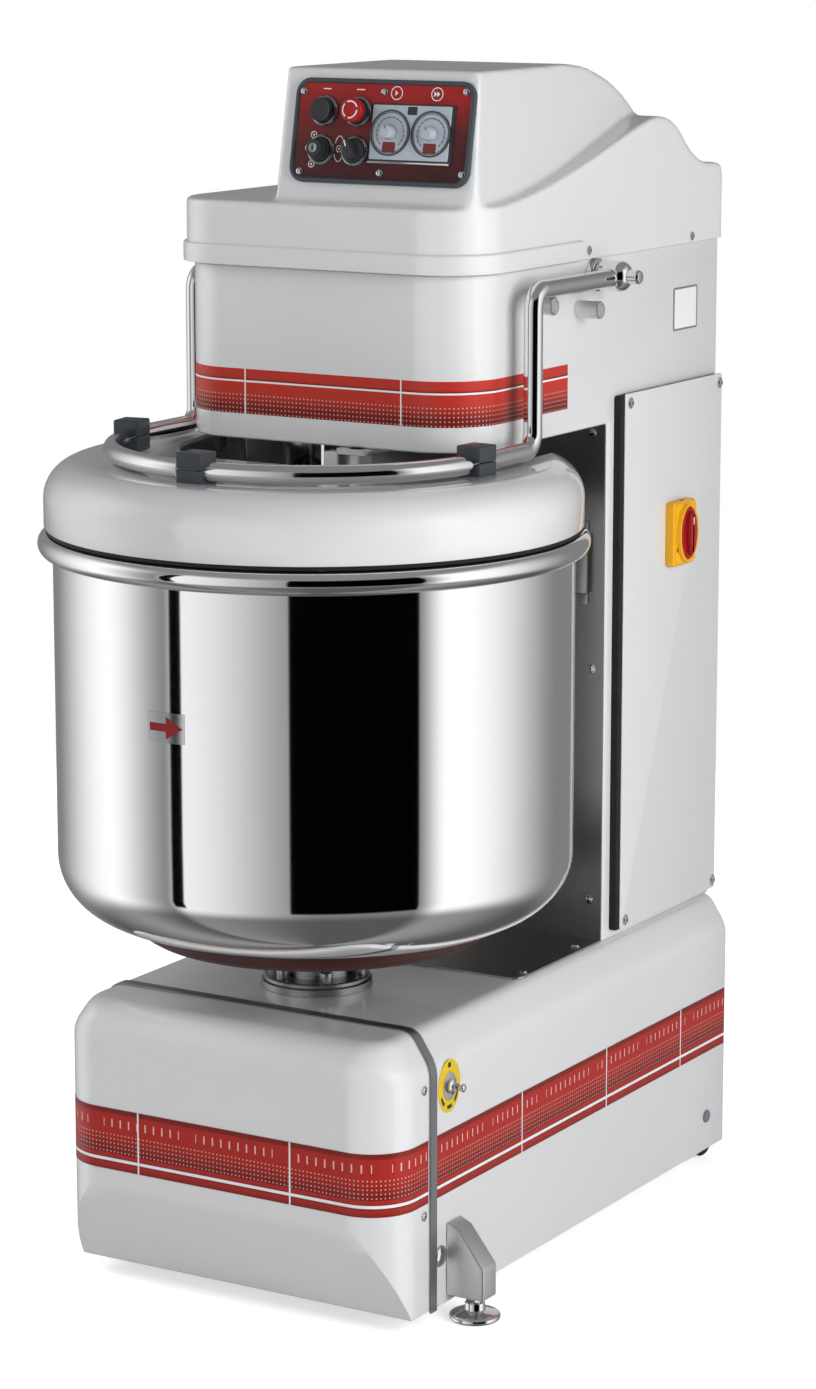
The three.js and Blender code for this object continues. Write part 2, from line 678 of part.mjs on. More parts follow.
const HUB_RADIUS = 28;
const PLATE_BOTTOM = BOWL_BOTTOM - 21;
const BOWL_PULLEY_Z = [150, 172];
function bowlHub() {
  const top = PLATE_BOTTOM;
  const profile = [
    [0, 60], [14, 60], [14, 130], [18, 130], [18, 178],
    [HUB_RADIUS, 182], [HUB_RADIUS, top - 14],
    [62, top - 10], [62, top - GAP], [0, top - GAP],
  ];
  return turned(profile, 0, 0, ROUND);
}

function bowlPlate() {
  const z0 = PLATE_BOTTOM;
  const profile = [[0, z0], [165, z0], [172, z0 + 4], [172, BOWL_BOTTOM - GAP], [0, BOWL_BOTTOM - GAP]];
  return turned(profile, 0, 0, 40);
}

function bowlBearing() {
  const bore = HUB_RADIUS + 0.4;
  const z = DECK + GAP;
  const profile = [
    [bore, 205], [42, 205], [42, z], [54, z], [54, z + 10], [52, z + 12], [52, z + 18],
    [36, z + 19], [36, z + 26], [bore, z + 26], [bore, 205],
  ];
  return turned(profile, 0, 0, ROUND);
}

// A flat-belt pulley with raised edges, bored to sit on its shaft.
function pulley(radius, bore, z0, z1, x, y, segments) {
  const lip = 3;
  const profile = [
    [bore, z0], [radius + lip, z0], [radius + lip, z0 + 2], [radius, z0 + 2],
    [radius, z1 - 2], [radius + lip, z1 - 2], [radius + lip, z1], [bore, z1], [bore, z0],
  ];
  return turned(profile, x, y, segments);
}

// A belt round two pulleys: the outline of the pair stood off the pulleys, less the same outline nearer in.
function belt(centreA, radiusA, centreB, radiusB, z0, z1) {
  const loop = (off) => {
    const dx = centreB[0] - centreA[0];
    const dy = centreB[1] - centreA[1];
    const heading = Math.atan2(dy, dx);
    const spread = Math.acos((radiusA - radiusB) / Math.hypot(dx, dy));
    const start = heading + spread;
    const end = heading - spread;
    const shape = new THREE.Shape();
    shape.absarc(...centreA, radiusA + off, start, end + 2 * Math.PI, false);
    shape.absarc(...centreB, radiusB + off, end, start, false);
    return shape;
  };
  return cut(alongZ(loop(4), z0, z1, 12), alongZ(loop(0.8), z0 - 5, z1 + 5, 12));
}

// An upright motor with a domed top, a terminal box on its right and a foot that reaches back to footY.
function motor([x, y], z0, z1, radius, shaftTop, footY) {
  const body = turned([
    [0, z0], [radius - 8, z0], [radius, z0 + 8], [radius, z1 - 14], [radius - 18, z1],
    [14, z1], [14, z1 + 4], [MOTOR_SHAFT, z1 + 4], [MOTOR_SHAFT, shaftTop], [0, shaftTop],
  ], x, y, SMALL_ROUND);
  const terminals = box(x + radius - 6, x + radius + 22, y - 26, y + 26, z0 + 40, z0 + 95);
  const foot = box(x - 40, x + 40, y + radius * 0.6, footY, z0 + 30, z0 + 110);
  return join(body, terminals, foot);
}

const MOTOR_SHAFT = 9;           // radius
const MOTOR_BORE = MOTOR_SHAFT + GAP;
const BOWL_PULLEY = 118;
const BOWL_MOTOR_PULLEY = 30;
const bowlMotorPulley = pulley(BOWL_MOTOR_PULLEY, MOTOR_BORE, ...BOWL_PULLEY_Z, ...BOWL_MOTOR, SMALL_ROUND);
add('bowl', bowl(), 'steel');
add('bowl_plate', bowlPlate(), 'maroon');
add('bowl_hub', bowlHub(), 'brushed');
add('bowl_bearing', bowlBearing(), 'brushed');
add('bowl_pulley', pulley(BOWL_PULLEY, 18.3, ...BOWL_PULLEY_Z, 0, 0, 32), 'brushed');
add('bowl_motor_pulley', bowlMotorPulley, 'brushed');
add('bowl_belt', belt([0, 0], BOWL_PULLEY, BOWL_MOTOR, BOWL_MOTOR_PULLEY, 153.5, 168.5), 'rubber');
add('bowl_motor', motor(BOWL_MOTOR, 24, 140, 62, 176, BASE_REAR - SHEET - GAP), 'motor');

// ---------------------------------------------------------------- spiral and its drive
const SPIRAL_PULLEY_Z = [898, 920];
const COIL_RADIUS = 88;
const COIL_BAR = 12;             // radius of the bar
const COIL_TURNS = 1.6;

class SpiralPath extends THREE.Curve {
  getPoint(t) {
    const angle = 2 * Math.PI * COIL_TURNS * t;
    const swell = Math.min(1, t / 0.12);
    const taper = 1 - 0.22 * Math.max(0, (t - 0.75) / 0.25);
    const radius = COIL_RADIUS * swell * taper;
    const height = 690 - 300 * t ** 0.92;
    const x = SPIRAL_X + radius * Math.cos(angle);
    const y = SPIRAL_Y + radius * Math.sin(angle);
    return new THREE.Vector3(x, y, height);
  }
}

function spiralTool() {
  const shaft = turned([
    [0, 676], [14, 676], [20, 684], [20, 760], [16, 764], [16, 880], [12, 880], [12, 930], [0, 930],
  ], SPIRAL_X, SPIRAL_Y, SMALL_ROUND);
  const collar = disc(22.5, 780, HEAD_BOTTOM + 6, SPIRAL_X, SPIRAL_Y, ROUND);
  return join(shaft, collar, swept(circleShape(COIL_BAR, 8), new SpiralPath(), 44));
}

const SPIRAL_PULLEY = 78;
const SPIRAL_MOTOR_PULLEY = 28;
const SPIRAL_AXIS = [SPIRAL_X, SPIRAL_Y];
const spiralPulley = pulley(SPIRAL_PULLEY, 12.3, ...SPIRAL_PULLEY_Z, ...SPIRAL_AXIS, ROUND);
const spiralMotorPulley = pulley(
  SPIRAL_MOTOR_PULLEY, MOTOR_BORE, ...SPIRAL_PULLEY_Z, ...SPIRAL_MOTOR, SMALL_ROUND,
);
const spiralBelt = belt(SPIRAL_AXIS, SPIRAL_PULLEY, SPIRAL_MOTOR, SPIRAL_MOTOR_PULLEY, 901.5, 916.5);
add('spiral_tool', spiralTool(), 'steel');
add('spiral_pulley', spiralPulley, 'brushed');
add('spiral_motor_pulley', spiralMotorPulley, 'brushed');
add('spiral_belt', spiralBelt, 'rubber');
add('spiral_motor', motor(SPIRAL_MOTOR, 700, 886, 70, 924, COLUMN_REAR - SHEET - GAP), 'motor');

// ---------------------------------------------------------------- guard
// A shallow dish inside the ring, a rounded shoulder outside it, and an opening that clears the head.
function guardLid() {
  const skin = (inset) => [
    [0, 791 - inset],
    [150, 791 - inset],
    ...[[174, 795], [196, 799], [214, 797]].map(([r, z]) => [r, z - inset]),
    ...arc(222, 763, 34 - inset, 78, 0, 4),
    [LID_RADIUS - inset, LID_BOTTOM - (inset ? 5 : 0)],
  ];
  const closed = (points) => [[0, points[points.length - 1][1]], ...points.reverse()];
  const dome = cut(
    turned(closed(skin(0)), 0, 0, LARGE_ROUND),
    turned(closed(skin(LID_WALL)), 0, 0, LARGE_ROUND),
  );
  const throat = roundFronted(COVER_HALF + SKIRT + 3.5, -8, 300, 60);
  return cut(dome, alongZ(throat, LID_BOTTOM - 10, 830, 6));
}

// Middle line of the guard tube: from the right pivot forwards, down the leg, round the front and back up.
function tubePath() {
  const bend = 14;
  const path = new THREE.CurvePath();
  const high = PIVOT_Z - 1;
  const low = RING_HEIGHT;
  const point = (a) => new THREE.Vector3(...a);
  const line = (a, b) => path.add(new THREE.LineCurve3(point(a), point(b)));
  const turn = (a, b, c) => path.add(new THREE.QuadraticBezierCurve3(point(a), point(b), point(c)));
  const R = RING_RADIUS;
  line([R, PIVOT_Y, high], [R, LEG_Y + bend, high]);
  turn([R, LEG_Y + bend, high], [R, LEG_Y, high], [R, LEG_Y, high - bend]);
  line([R, LEG_Y, high - bend], [R, LEG_Y, low + bend]);
  turn([R, LEG_Y, low + bend], [R, LEG_Y, low], [R, LEG_Y - bend, low]);
  line([R, LEG_Y - bend, low], [R, 0, low]);
  const steps = 6;
  for (let i = 0; i < steps; i += 1) {
    const from = -Math.PI * i / steps;
    const to = -Math.PI * (i + 1) / steps;
    const middle = (from + to) / 2;
    const reach = R / Math.cos((from - to) / 2);
    const at = (angle, r) => [r * Math.cos(angle), r * Math.sin(angle), low];
    turn(at(from, R), at(middle, reach), at(to, R));
  }
  line([-R, 0, low], [-R, LEG_Y - bend, low]);
  turn([-R, LEG_Y - bend, low], [-R, LEG_Y, low], [-R, LEG_Y, low + bend]);
  line([-R, LEG_Y, low + bend], [-R, LEG_Y, high - bend]);
  turn([-R, LEG_Y, high - bend], [-R, LEG_Y, high], [-R, LEG_Y + bend, high]);
  line([-R, LEG_Y + bend, high], [-R, PIVOT_Y, high]);
  return path;
}

const BOSS_INNER = 176;
const BOSS_OUTER = 205;
const BOSS_RADIUS = 15;
const PIN_RADIUS = 7;
function guardTube() {
  const boss = [
    [0, BOSS_INNER], [BOSS_RADIUS, BOSS_INNER], [BOSS_RADIUS, BOSS_OUTER - 8],
    [12, BOSS_OUTER - 2], [9, BOSS_OUTER], [0, BOSS_OUTER],
  ];
  const boreRadius = PIN_RADIUS + 0.4;
  const bore = [[0, 150], [boreRadius, 150], [boreRadius, 230], [0, 230]];
  const onPivots = (profile) => SIDES.map(([, sign]) => turnedAlongX(profile, sign, PIVOT_Y, PIVOT_Z));
  const tube = swept(circleShape(TUBE_RADIUS, 8), tubePath(), 64);
  return cut(join(tube, ...onPivots(boss)), ...onPivots(bore));
}

function pivotPin(sign) {
  const profile = [
    [0, COLUMN_HALF + GAP], [16, COLUMN_HALF + GAP], [16, BOSS_INNER - 2], [14, BOSS_INNER - 1],
    [PIN_RADIUS, BOSS_INNER - 1], [PIN_RADIUS, 216], [PIN_RADIUS - 1.5, 217.5], [0, 217.5],
  ];
  return turnedAlongX(profile, sign, PIVOT_Y, PIVOT_Z);
}

const REST_STOP = [124, 940.2];  // the guard tube lies just above these when the guard is down
const OPEN_STOP = [215.5, 928.5];
const STOP_RADIUS = 8.5;
function stopBumper(sign, [y, z]) {
  const x0 = COLUMN_HALF + GAP;
  const x1 = x0 + 25.5;
  const profile = [[0, x0], [STOP_RADIUS, x0], [STOP_RADIUS, x1 - 1.5], [STOP_RADIUS - 1.5, x1], [0, x1]];
  return turnedAlongX(profile, sign, y, z);
}

const CLAMP_SLACK = 1.2;         // room for the tube's curve inside the straight bore
// A split clamp block that holds the tube down on the lid, turned to face the ring at an angle.
function clampBlock(angle) {
  const top = RING_HEIGHT + 17;
  const bottom = 799.8;
  const plan = rounded(RING_RADIUS - 14, RING_RADIUS + 13, -14, 14, 3);
  const block = alongZ(plan, bottom, top, 3);
  const bore = disc(TUBE_RADIUS + CLAMP_SLACK, -30, 30, 0, 0, SMALL_ROUND).rotateX(Math.PI / 2);
  const turn = THREE.MathUtils.degToRad(angle);
  return cut(block, bore.translate(RING_RADIUS, 0, RING_HEIGHT)).rotateZ(turn);
}

add('guard_lid', guardLid(), 'white');
add('guard_tube', guardTube(), 'steel');
add('clamp_left', clampBlock(-170), 'dark');
add('clamp_front', clampBlock(-92), 'dark');
add('clamp_right', clampBlock(-6), 'dark');
for (const [side, sign] of SIDES) {
  add(`pivot_pin_${side}`, pivotPin(sign), 'steel');
  add(`rest_stop_${side}`, stopBumper(sign, REST_STOP), 'steel');
  add(`open_stop_${side}`, stopBumper(sign, OPEN_STOP), 'steel');
}

// The origin goes under the middle of the part: half way between the bowl's rim and the back of the base.
const RIM_FRONT = RIM_CENTRE + RIM_RADIUS;
group.position.y = -(BASE_REAR - RIM_FRONT) / 2;

export default group;
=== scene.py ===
import math
import bmesh
import bpy
from mathutils import Matrix, Vector


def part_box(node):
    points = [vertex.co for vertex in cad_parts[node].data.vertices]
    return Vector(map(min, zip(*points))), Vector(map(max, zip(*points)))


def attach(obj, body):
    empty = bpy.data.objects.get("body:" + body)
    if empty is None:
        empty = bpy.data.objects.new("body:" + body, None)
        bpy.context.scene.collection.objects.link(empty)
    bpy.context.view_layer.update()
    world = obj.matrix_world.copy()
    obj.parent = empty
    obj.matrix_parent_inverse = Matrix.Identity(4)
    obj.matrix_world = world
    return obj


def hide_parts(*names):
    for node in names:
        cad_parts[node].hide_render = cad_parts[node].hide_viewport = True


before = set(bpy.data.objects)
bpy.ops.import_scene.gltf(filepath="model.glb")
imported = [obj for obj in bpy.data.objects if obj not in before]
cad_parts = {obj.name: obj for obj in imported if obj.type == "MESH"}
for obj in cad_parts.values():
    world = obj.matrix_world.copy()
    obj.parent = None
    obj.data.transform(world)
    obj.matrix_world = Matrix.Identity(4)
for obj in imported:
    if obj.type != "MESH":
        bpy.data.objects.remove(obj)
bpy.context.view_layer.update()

# Shapes are drawn in millimetres around the bowl's axis, with z = 0 on the floor and the front towards -Y,
# and are moved into the shared frame, in metres, as each piece is made.
MM = 0.001
bowl_low, bowl_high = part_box("bowl")
ORIGIN = Vector(((bowl_low.x + bowl_high.x) / 2, (bowl_low.y + bowl_high.y) / 2, 0))


class Span:
    """A CAD node's box in those millimetres."""

    def __init__(self, node):
        low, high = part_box(node)
        self.x0, self.y0, self.z0 = (low - ORIGIN) / MM
        self.x1, self.y1, self.z1 = (high - ORIGIN) / MM
        self.x = (self.x0 + self.x1) / 2
        self.y = (self.y0 + self.y1) / 2
        self.z = (self.z0 + self.z1) / 2


base = Span("base_body")
cover = Span("base_front_cover")
head = Span("upper_frame")
top = Span("top_cover")
bowl = Span("bowl")
lid = Span("guard_lid")
door = Span("door")
switch = Span("main_switch_plate")

# ---------------------------------------------------------------- shapes


class Shape:
    """Points and faces of one piece, with the number of the look that each face takes."""

    def __init__(self):
        self.points = []
        self.faces = []
        self.looks = []
        self.flat = []

    def face(self, corners, look):
        self.faces.append(tuple(corners))
        self.looks.append(look)

    def grid(self, rows, wrap=False, close=False, look=0, flat=None):
        """Quads between rows of points: wrap joins each row's ends, close joins the last row to the first."""
        start = len(self.points)
        width = len(rows[0])
        for r, row in enumerate(rows):
            self.points.extend(Vector(p) for p in row)
            self.flat.extend(flat[r] if flat else [(0, 0)] * width)
        for r in range(len(rows) if close else len(rows) - 1):
            below = start + r * width
            above = start + (r + 1) % len(rows) * width
            for c in range(width if wrap else width - 1):
                d = (c + 1) % width
                self.face((below + c, below + d, above + d, above + c), look)
        return self

    def cap(self, ring, look=0):
        start = len(self.points)
        self.points.extend(Vector(p) for p in ring)
        self.flat.extend([(0, 0)] * len(ring))
        self.face(range(start, start + len(ring)), look)
        return self

    def tube_of(self, rows, look=0):
        """A closed body from a stack of rings."""
        self.grid(rows, wrap=True, look=look)
        self.cap(rows[0], look)
        self.cap(rows[-1], look)
        return self

    def moved(self, place):
        self.points = [place @ p for p in self.points]
        return self

    def add(self, other, look=None):
        start = len(self.points)
        self.points.extend(other.points)
        self.flat.extend(other.flat)
        for corners, number in zip(other.faces, other.looks):
            self.face((c + start for c in corners), number if look is None else look)
        return self


def arc(a, b, radius, start, end, steps):
    """Points on an arc about (a, b), from one angle in degrees to another."""
    angles = [math.radians(start + (end - start) * i / steps) for i in range(steps + 1)]
    return [(a + radius * math.cos(t), b + radius * math.sin(t)) for t in angles]


def rounded(x0, x1, y0, y1, radius, steps=6):
    """A rectangle with round corners, anticlockwise."""
    return (
        arc(x1 - radius, y0 + radius, radius, -90, 0, steps)
        + arc(x1 - radius, y1 - radius, radius, 0, 90, steps)
        + arc(x0 + radius, y1 - radius, radius, 90, 180, steps)
        + arc(x0 + radius, y0 + radius, radius, 180, 270, steps)
    )


def round_fronted(half, front, rear, radius, steps=20):
    """A rectangle seen from above whose two front corners are round, anticlockwise."""
    return (
        arc(-half + radius, front + radius, radius, 180, 270, steps)
        + arc(half - radius, front + radius, radius, -90, 0, steps)
        + [(half, rear), (-half, rear)]
    )


def inset(outline, distance):
    """The outline moved inwards by a distance, its corners mitred."""
    result = []
    count = len(outline)
    for i, (x, y) in enumerate(outline):
        before = Vector((x, y)) - Vector(outline[i - 1])
        after = Vector(outline[(i + 1) % count]) - Vector((x, y))
        if before.length < 1e-6:
            before = after
        if after.length < 1e-6:
            after = before
        normal_a = Vector((-before.y, before.x)).normalized()
        normal_b = Vector((-after.y, after.x)).normalized()
        middle = (normal_a + normal_b).normalized()
        reach = distance / max(0.3, middle.dot(normal_a))
        result.append((x + middle.x * reach, y + middle.y * reach))
    return result


def slab(outline, z0, z1, edge=0.0, low_edge=0.0, steps=3, look=0):
    """An outline raised from z0 to z1, with its top and bottom edges rounded."""
    rows = []
    for i in range(steps + 1 if low_edge else 1):
        angle = math.pi / 2 * i / steps
        inwards = low_edge * (1 - math.sin(angle))
        rows.append([(x, y, z0 + low_edge * (1 - math.cos(angle))) for x, y in inset(outline, inwards)])
    for i in range(steps + 1 if edge else 1):
        angle = math.pi / 2 * i / steps
        inwards = edge * (1 - math.cos(angle))
        rows.append([(x, y, z1 - edge * (1 - math.sin(angle))) for x, y in inset(outline, inwards)])
    return Shape().tube_of(rows, look)


def lathe(profile, segments=48, look=0, closed=False):
    """A profile of (radius, height) pairs turned about the Z axis."""
    rows = []
    for radius, height in profile:
        angles = [2 * math.pi * i / segments for i in range(segments)]
        rows.append([(radius * math.cos(t), radius * math.sin(t), height) for t in angles])
    return Shape().grid(rows, wrap=True, close=closed, look=look)


def soften(profile, radius, steps=4):
    """The profile with each of its inner corners rounded."""
    result = [profile[0]]
    for before, corner, after in zip(profile, profile[1:], profile[2:]):
        here = Vector(corner)
        back = Vector(before) - here
        on = Vector(after) - here
        reach = min(radius, back.length * 0.45, on.length * 0.45)
        a = here + back.normalized() * reach
        b = here + on.normalized() * reach
        for i in range(steps + 1):
            t = i / steps
            result.append(tuple(a * (1 - t) ** 2 + here * 2 * t * (1 - t) + b * t ** 2))
    result.append(profile[-1])
    return result


def bent(corners, radius, steps=8):
    """A path through the corners with each bend rounded to a radius."""
    points = [Vector(corners[0])]
    for before, corner, after in zip(corners, corners[1:], corners[2:]):
        here = Vector(corner)
        back = (Vector(before) - here).normalized()
        on = (Vector(after) - here).normalized()
        half = back.angle(on) / 2
        reach = radius / math.tan(half)
        centre = here + (back + on).normalized() * (radius / math.sin(half))
        start = (here + back * reach - centre).normalized()
        end = (here + on * reach - centre).normalized()
        for i in range(steps + 1):
            points.append(centre + start.slerp(end, i / steps).normalized() * radius)
    points.append(Vector(corners[-1]))
    return points


def sweep(path, radius, sides=20, look=0, closed=False):
    """A round bar along a path, its section carried along without twist."""
    path = [Vector(p) for p in path]
    count = len(path)
    rows = []
    side = None
    for i, here in enumerate(path):
        if closed:
            along = (path[(i + 1) % count] - path[i - 1]).normalized()
        else:
            along = (path[min(i + 1, count - 1)] - path[max(i - 1, 0)]).normalized()
        if side is None:
            side = along.orthogonal().normalized()
        side = (side - along * side.dot(along)).normalized()
        other = along.cross(side)
        width = radius(i / (count - 1)) if callable(radius) else radius
        angles = [2 * math.pi * k / sides for k in range(sides)]
        rows.append([here + (side * math.cos(t) + other * math.sin(t)) * width for t in angles])
    if closed:
        return Shape().grid(rows, wrap=True, close=True, look=look)
    return Shape().tube_of(rows, look)


def at(x, y, z):
    return Matrix.Translation((x, y, z))


def facing_front(x, y, z):
    """Local x to the right, y up and z towards the front."""
    return at(x, y, z) @ Matrix.Rotation(math.pi / 2, 4, "X")


def facing_side(x, y, z):
    """Local z towards +X or -X, whichever side of the middle the place is on, and y up."""
    sign = 1 if x > 0 else -1
    turn = Matrix(((0, 0, sign, 0), (sign, 0, 0, 0), (0, 1, 0, 0), (0, 0, 0, 1)))
    return at(x, y, z) @ turn


# ---------------------------------------------------------------- pieces
pieces = {}


def to_frame(point):
    return Vector(point) * MM + ORIGIN


def make(name, shape, looks, body="frame", replaces=(), crease=32, weld=0.02):
    """Turns a shape into a Blender object that rides on a CAD body."""
    mesh = bpy.data.meshes.new(name)
    mesh.from_pydata([to_frame(p) for p in shape.points], [], shape.faces)
    looks = looks if isinstance(looks, (list, tuple)) else [looks]
    for look in looks:
        mesh.materials.append(look)
    mesh.polygons.foreach_set("material_index", shape.looks)
    if any(pair != (0, 0) for pair in shape.flat):
        layer = mesh.uv_layers.new(name="flat")
        for loop in mesh.loops:
            layer.data[loop.index].uv = shape.flat[loop.vertex_index]
    obj = bpy.data.objects.new(name, mesh)
    bpy.context.scene.collection.objects.link(obj)
    tidy(obj, crease, weld)
    settle(obj, body, replaces)
    return obj


def settle(obj, body, replaces=()):
    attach(obj, body)
    if replaces:
        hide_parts(*replaces)
    pieces[obj.name] = obj


def tidy(obj, crease=32, weld=0.02):
    """Welds doubled points, turns faces outwards and keeps edges sharper than the crease angle sharp."""
    work = bmesh.new()
    work.from_mesh(obj.data)
    if weld:
        bmesh.ops.remove_doubles(work, verts=work.verts, dist=weld * MM)
        bmesh.ops.dissolve_degenerate(work, edges=work.edges, dist=1e-7)
    bmesh.ops.recalc_face_normals(work, faces=work.faces)
    for face in work.faces:
        face.smooth = True
    for edge in work.edges:
        edge.smooth = len(edge.link_faces) < 2 or edge.calc_face_angle(0) < math.radians(crease)
    work.to_mesh(obj.data)
    work.free()


def plain(shape):
    """A shape as an object that belongs to nothing yet, for joining and cutting."""
    mesh = bpy.data.meshes.new("work")
    mesh.from_pydata([to_frame(p) for p in shape.points], [], shape.faces)
    obj = bpy.data.objects.new("work", mesh)
    bpy.context.scene.collection.objects.link(obj)
    tidy(obj)
    return obj


def apply_modifiers(obj):
    bpy.context.view_layer.update()
    evaluated = obj.evaluated_get(bpy.context.evaluated_depsgraph_get())
    mesh = bpy.data.meshes.new_from_object(evaluated)
    obj.modifiers.clear()
    obj.data = mesh


def boolean(obj, other, operation):
    modifier = obj.modifiers.new("boolean", "BOOLEAN")
    modifier.operation = operation
    modifier.object = other
    modifier.solver = "EXACT"
    apply_modifiers(obj)
    bpy.data.objects.remove(other)
    return obj


def bevel(obj, width, segments=3, angle=40):
    modifier = obj.modifiers.new("bevel", "BEVEL")
    modifier.width = width * MM
    modifier.segments = segments
    modifier.limit_method = "ANGLE"
    modifier.angle_limit = math.radians(angle)
    modifier.use_clamp_overlap = True
    modifier.miter_outer = "MITER_ARC"
    apply_modifiers(obj)


def finished(obj, name, look, body="frame", replaces=(), crease=32, weld=0.0):
    obj.name = name
    obj.data.name = name
    obj.data.materials.clear()
    obj.data.materials.append(look)
    tidy(obj, crease, weld)
    settle(obj, body, replaces)
    return obj


# ---------------------------------------------------------------- looks


class Look:
    """A node material under construction."""

    def __init__(self, name, colour, roughness, metallic=0.0):
        self.material = bpy.data.materials.new(name)
        self.material.use_nodes = True
        self.tree = self.material.node_tree
        self.shader = self.tree.nodes["Principled BSDF"]
        self.colour = colour
        self.shader.inputs["Base Color"].default_value = (*colour, 1)
        self.shader.inputs["Roughness"].default_value = roughness
        self.shader.inputs["Metallic"].default_value = metallic

    def node(self, kind, **settings):
        node = self.tree.nodes.new(kind)
        for key, value in settings.items():
            if key in node.inputs:
                node.inputs[key].default_value = value
            else:
                setattr(node, key, value)
        return node

    def link(self, source, target):
        self.tree.links.new(source, target)

    def place(self, stretch=(1, 1, 1)):
        coordinates = self.node("ShaderNodeTexCoord")
        mapping = self.node("ShaderNodeMapping")
        mapping.inputs["Scale"].default_value = stretch
        self.link(coordinates.outputs["Object"], mapping.inputs["Vector"])
        return mapping.outputs["Vector"]

    def noise(self, scale, detail=3.0, stretch=(1, 1, 1)):
        noise = self.node("ShaderNodeTexNoise", Scale=scale, Detail=detail)
        self.link(self.place(stretch), noise.inputs["Vector"])
        return noise.outputs["Fac"]

    def between(self, factor, low, high):
        """Maps a 0 to 1 factor onto a range."""
        node = self.node("ShaderNodeMapRange")
        node.inputs["To Min"].default_value = low
        node.inputs["To Max"].default_value = high
        self.link(factor, node.inputs["Value"])
        return node.outputs["Result"]

    def mix(self, factor, a, b):
        node = self.node("ShaderNodeMix", data_type="RGBA")
        self.link(factor, node.inputs["Factor"])
        for value, socket in ((a, node.inputs[6]), (b, node.inputs[7])):
            if isinstance(value, tuple):
                socket.default_value = (*value, 1)
            else:
                self.link(value, socket)
        return node.outputs[2]

    def math(self, operation, a, b=0.0):
        node = self.node("ShaderNodeMath", operation=operation)
        for value, socket in ((a, node.inputs[0]), (b, node.inputs[1])):
            if isinstance(value, (int, float)):
                socket.default_value = value
            else:
                self.link(value, socket)
        return node.outputs[0]

    def bump(self, height, strength, distance=0.0003):
        node = self.node("ShaderNodeBump", Strength=strength, Distance=distance)
        self.link(height, node.inputs["Height"])
        self.link(node.outputs["Normal"], self.shader.inputs["Normal"])

    def rough(self, factor, low, high):
        self.link(self.between(factor, low, high), self.shader.inputs["Roughness"])

    def tint(self, factor, low, high):
        """Varies the colour's lightness between two shares."""
        darker = tuple(c * low for c in self.colour)
        lighter = tuple(min(1, c * high) for c in self.colour)
        self.link(self.mix(factor, darker, lighter), self.shader.inputs["Base Color"])


def paint(name, colour, roughness=0.3, coat=0.25, peel=0.05, coat_roughness=0.06):
    """Gloss paint or gel coat: faint orange peel, and slow changes of tone and sheen."""
    look = Look(name, colour, roughness)
    look.shader.inputs["Coat Weight"].default_value = coat
    look.shader.inputs["Coat Roughness"].default_value = coat_roughness
    look.shader.inputs["Coat IOR"].default_value = 1.6
    look.tint(look.noise(2.5, 2), 0.975, 1.015)
    look.rough(look.noise(9, 3), roughness * 0.85, roughness * 1.15)
    look.bump(look.noise(420, 2), peel, 0.0002)
    return look.material


def plastic(name, colour, roughness=0.45, grain=0.15):
    look = Look(name, colour, roughness)
    look.tint(look.noise(14, 3), 0.93, 1.06)
    look.rough(look.noise(40, 3), roughness * 0.85, roughness * 1.2)
    look.bump(look.noise(1400, 2), grain, 0.0001)
    return look.material


def brushed(name, colour, roughness, stretch, tone=0.06, grain=0.12):
    """Brushed metal: fine lines that run along the direction in which the noise is least squeezed."""
    look = Look(name, colour, roughness, 1.0)
    lines = look.noise(1.0, 6, stretch)
    cloud = look.noise(6, 3)
    both = look.math("MULTIPLY_ADD", lines, 0.7)
    both.node.inputs[2].default_value = 0.0
    blend = look.math("ADD", both, look.math("MULTIPLY", cloud, 0.3))
    look.tint(blend, 1 - tone, 1 + tone)
    look.rough(blend, roughness * 0.6, roughness * 1.5)
    look.bump(lines, grain, 0.00005)
    return look.material


def polished(name, colour=(0.82, 0.82, 0.83), roughness=0.07):
    look = Look(name, colour, roughness, 1.0)
    look.tint(look.noise(12, 3), 0.96, 1.02)
    look.rough(look.noise(30, 4), roughness * 0.7, roughness * 1.6)
    look.bump(look.noise(160, 2), 0.02, 0.0001)
    return look.material


WHITE = paint("white_paint", (0.7, 0.705, 0.715), 0.3, 1.0, 0.04, 0.12)
WHITE_COVER = paint("white_gel_coat", (0.7, 0.705, 0.715), 0.3, 1.0, 0.02, 0.2)
WHITE_LID = paint("white_lid", (0.68, 0.685, 0.695), 0.2, 1.0, 0.02)
BOWL_STEEL = brushed("turned_steel", (0.92, 0.92, 0.925), 0.045, (7, 7, 700), 0.02, 0.02)
PANEL_STEEL = brushed("brushed_sheet", (0.5, 0.49, 0.48), 0.34, (900, 900, 6), 0.1, 0.2)
BRACKET_STEEL = brushed("bracket_steel", (0.8, 0.8, 0.8), 0.45, (14, 900, 14), 0.07, 0.25)
MACHINED = brushed("machined_steel", (0.5, 0.5, 0.5), 0.28, (60, 60, 900), 0.12, 0.15)
CHROME = polished("chrome")
TRIM = brushed("trim_aluminium", (0.42, 0.43, 0.44), 0.4, (40, 40, 40), 0.04, 0.05)
MAROON = paint("maroon_primer", (0.05, 0.012, 0.011), 0.5, 0.0, 0.2)
MOTOR = paint("motor_paint", (0.12, 0.15, 0.18), 0.5, 0.0, 0.2)
IRON = brushed("cast_iron", (0.16, 0.16, 0.165), 0.5, (60, 60, 60), 0.12, 0.4)
BLACK = plastic("black_plastic", (0.022, 0.024, 0.027), 0.42)
GRAPHITE = plastic("graphite_plastic", (0.035, 0.042, 0.05), 0.4)
RUBBER = plastic("rubber", (0.012, 0.012, 0.012), 0.7, 0.3)
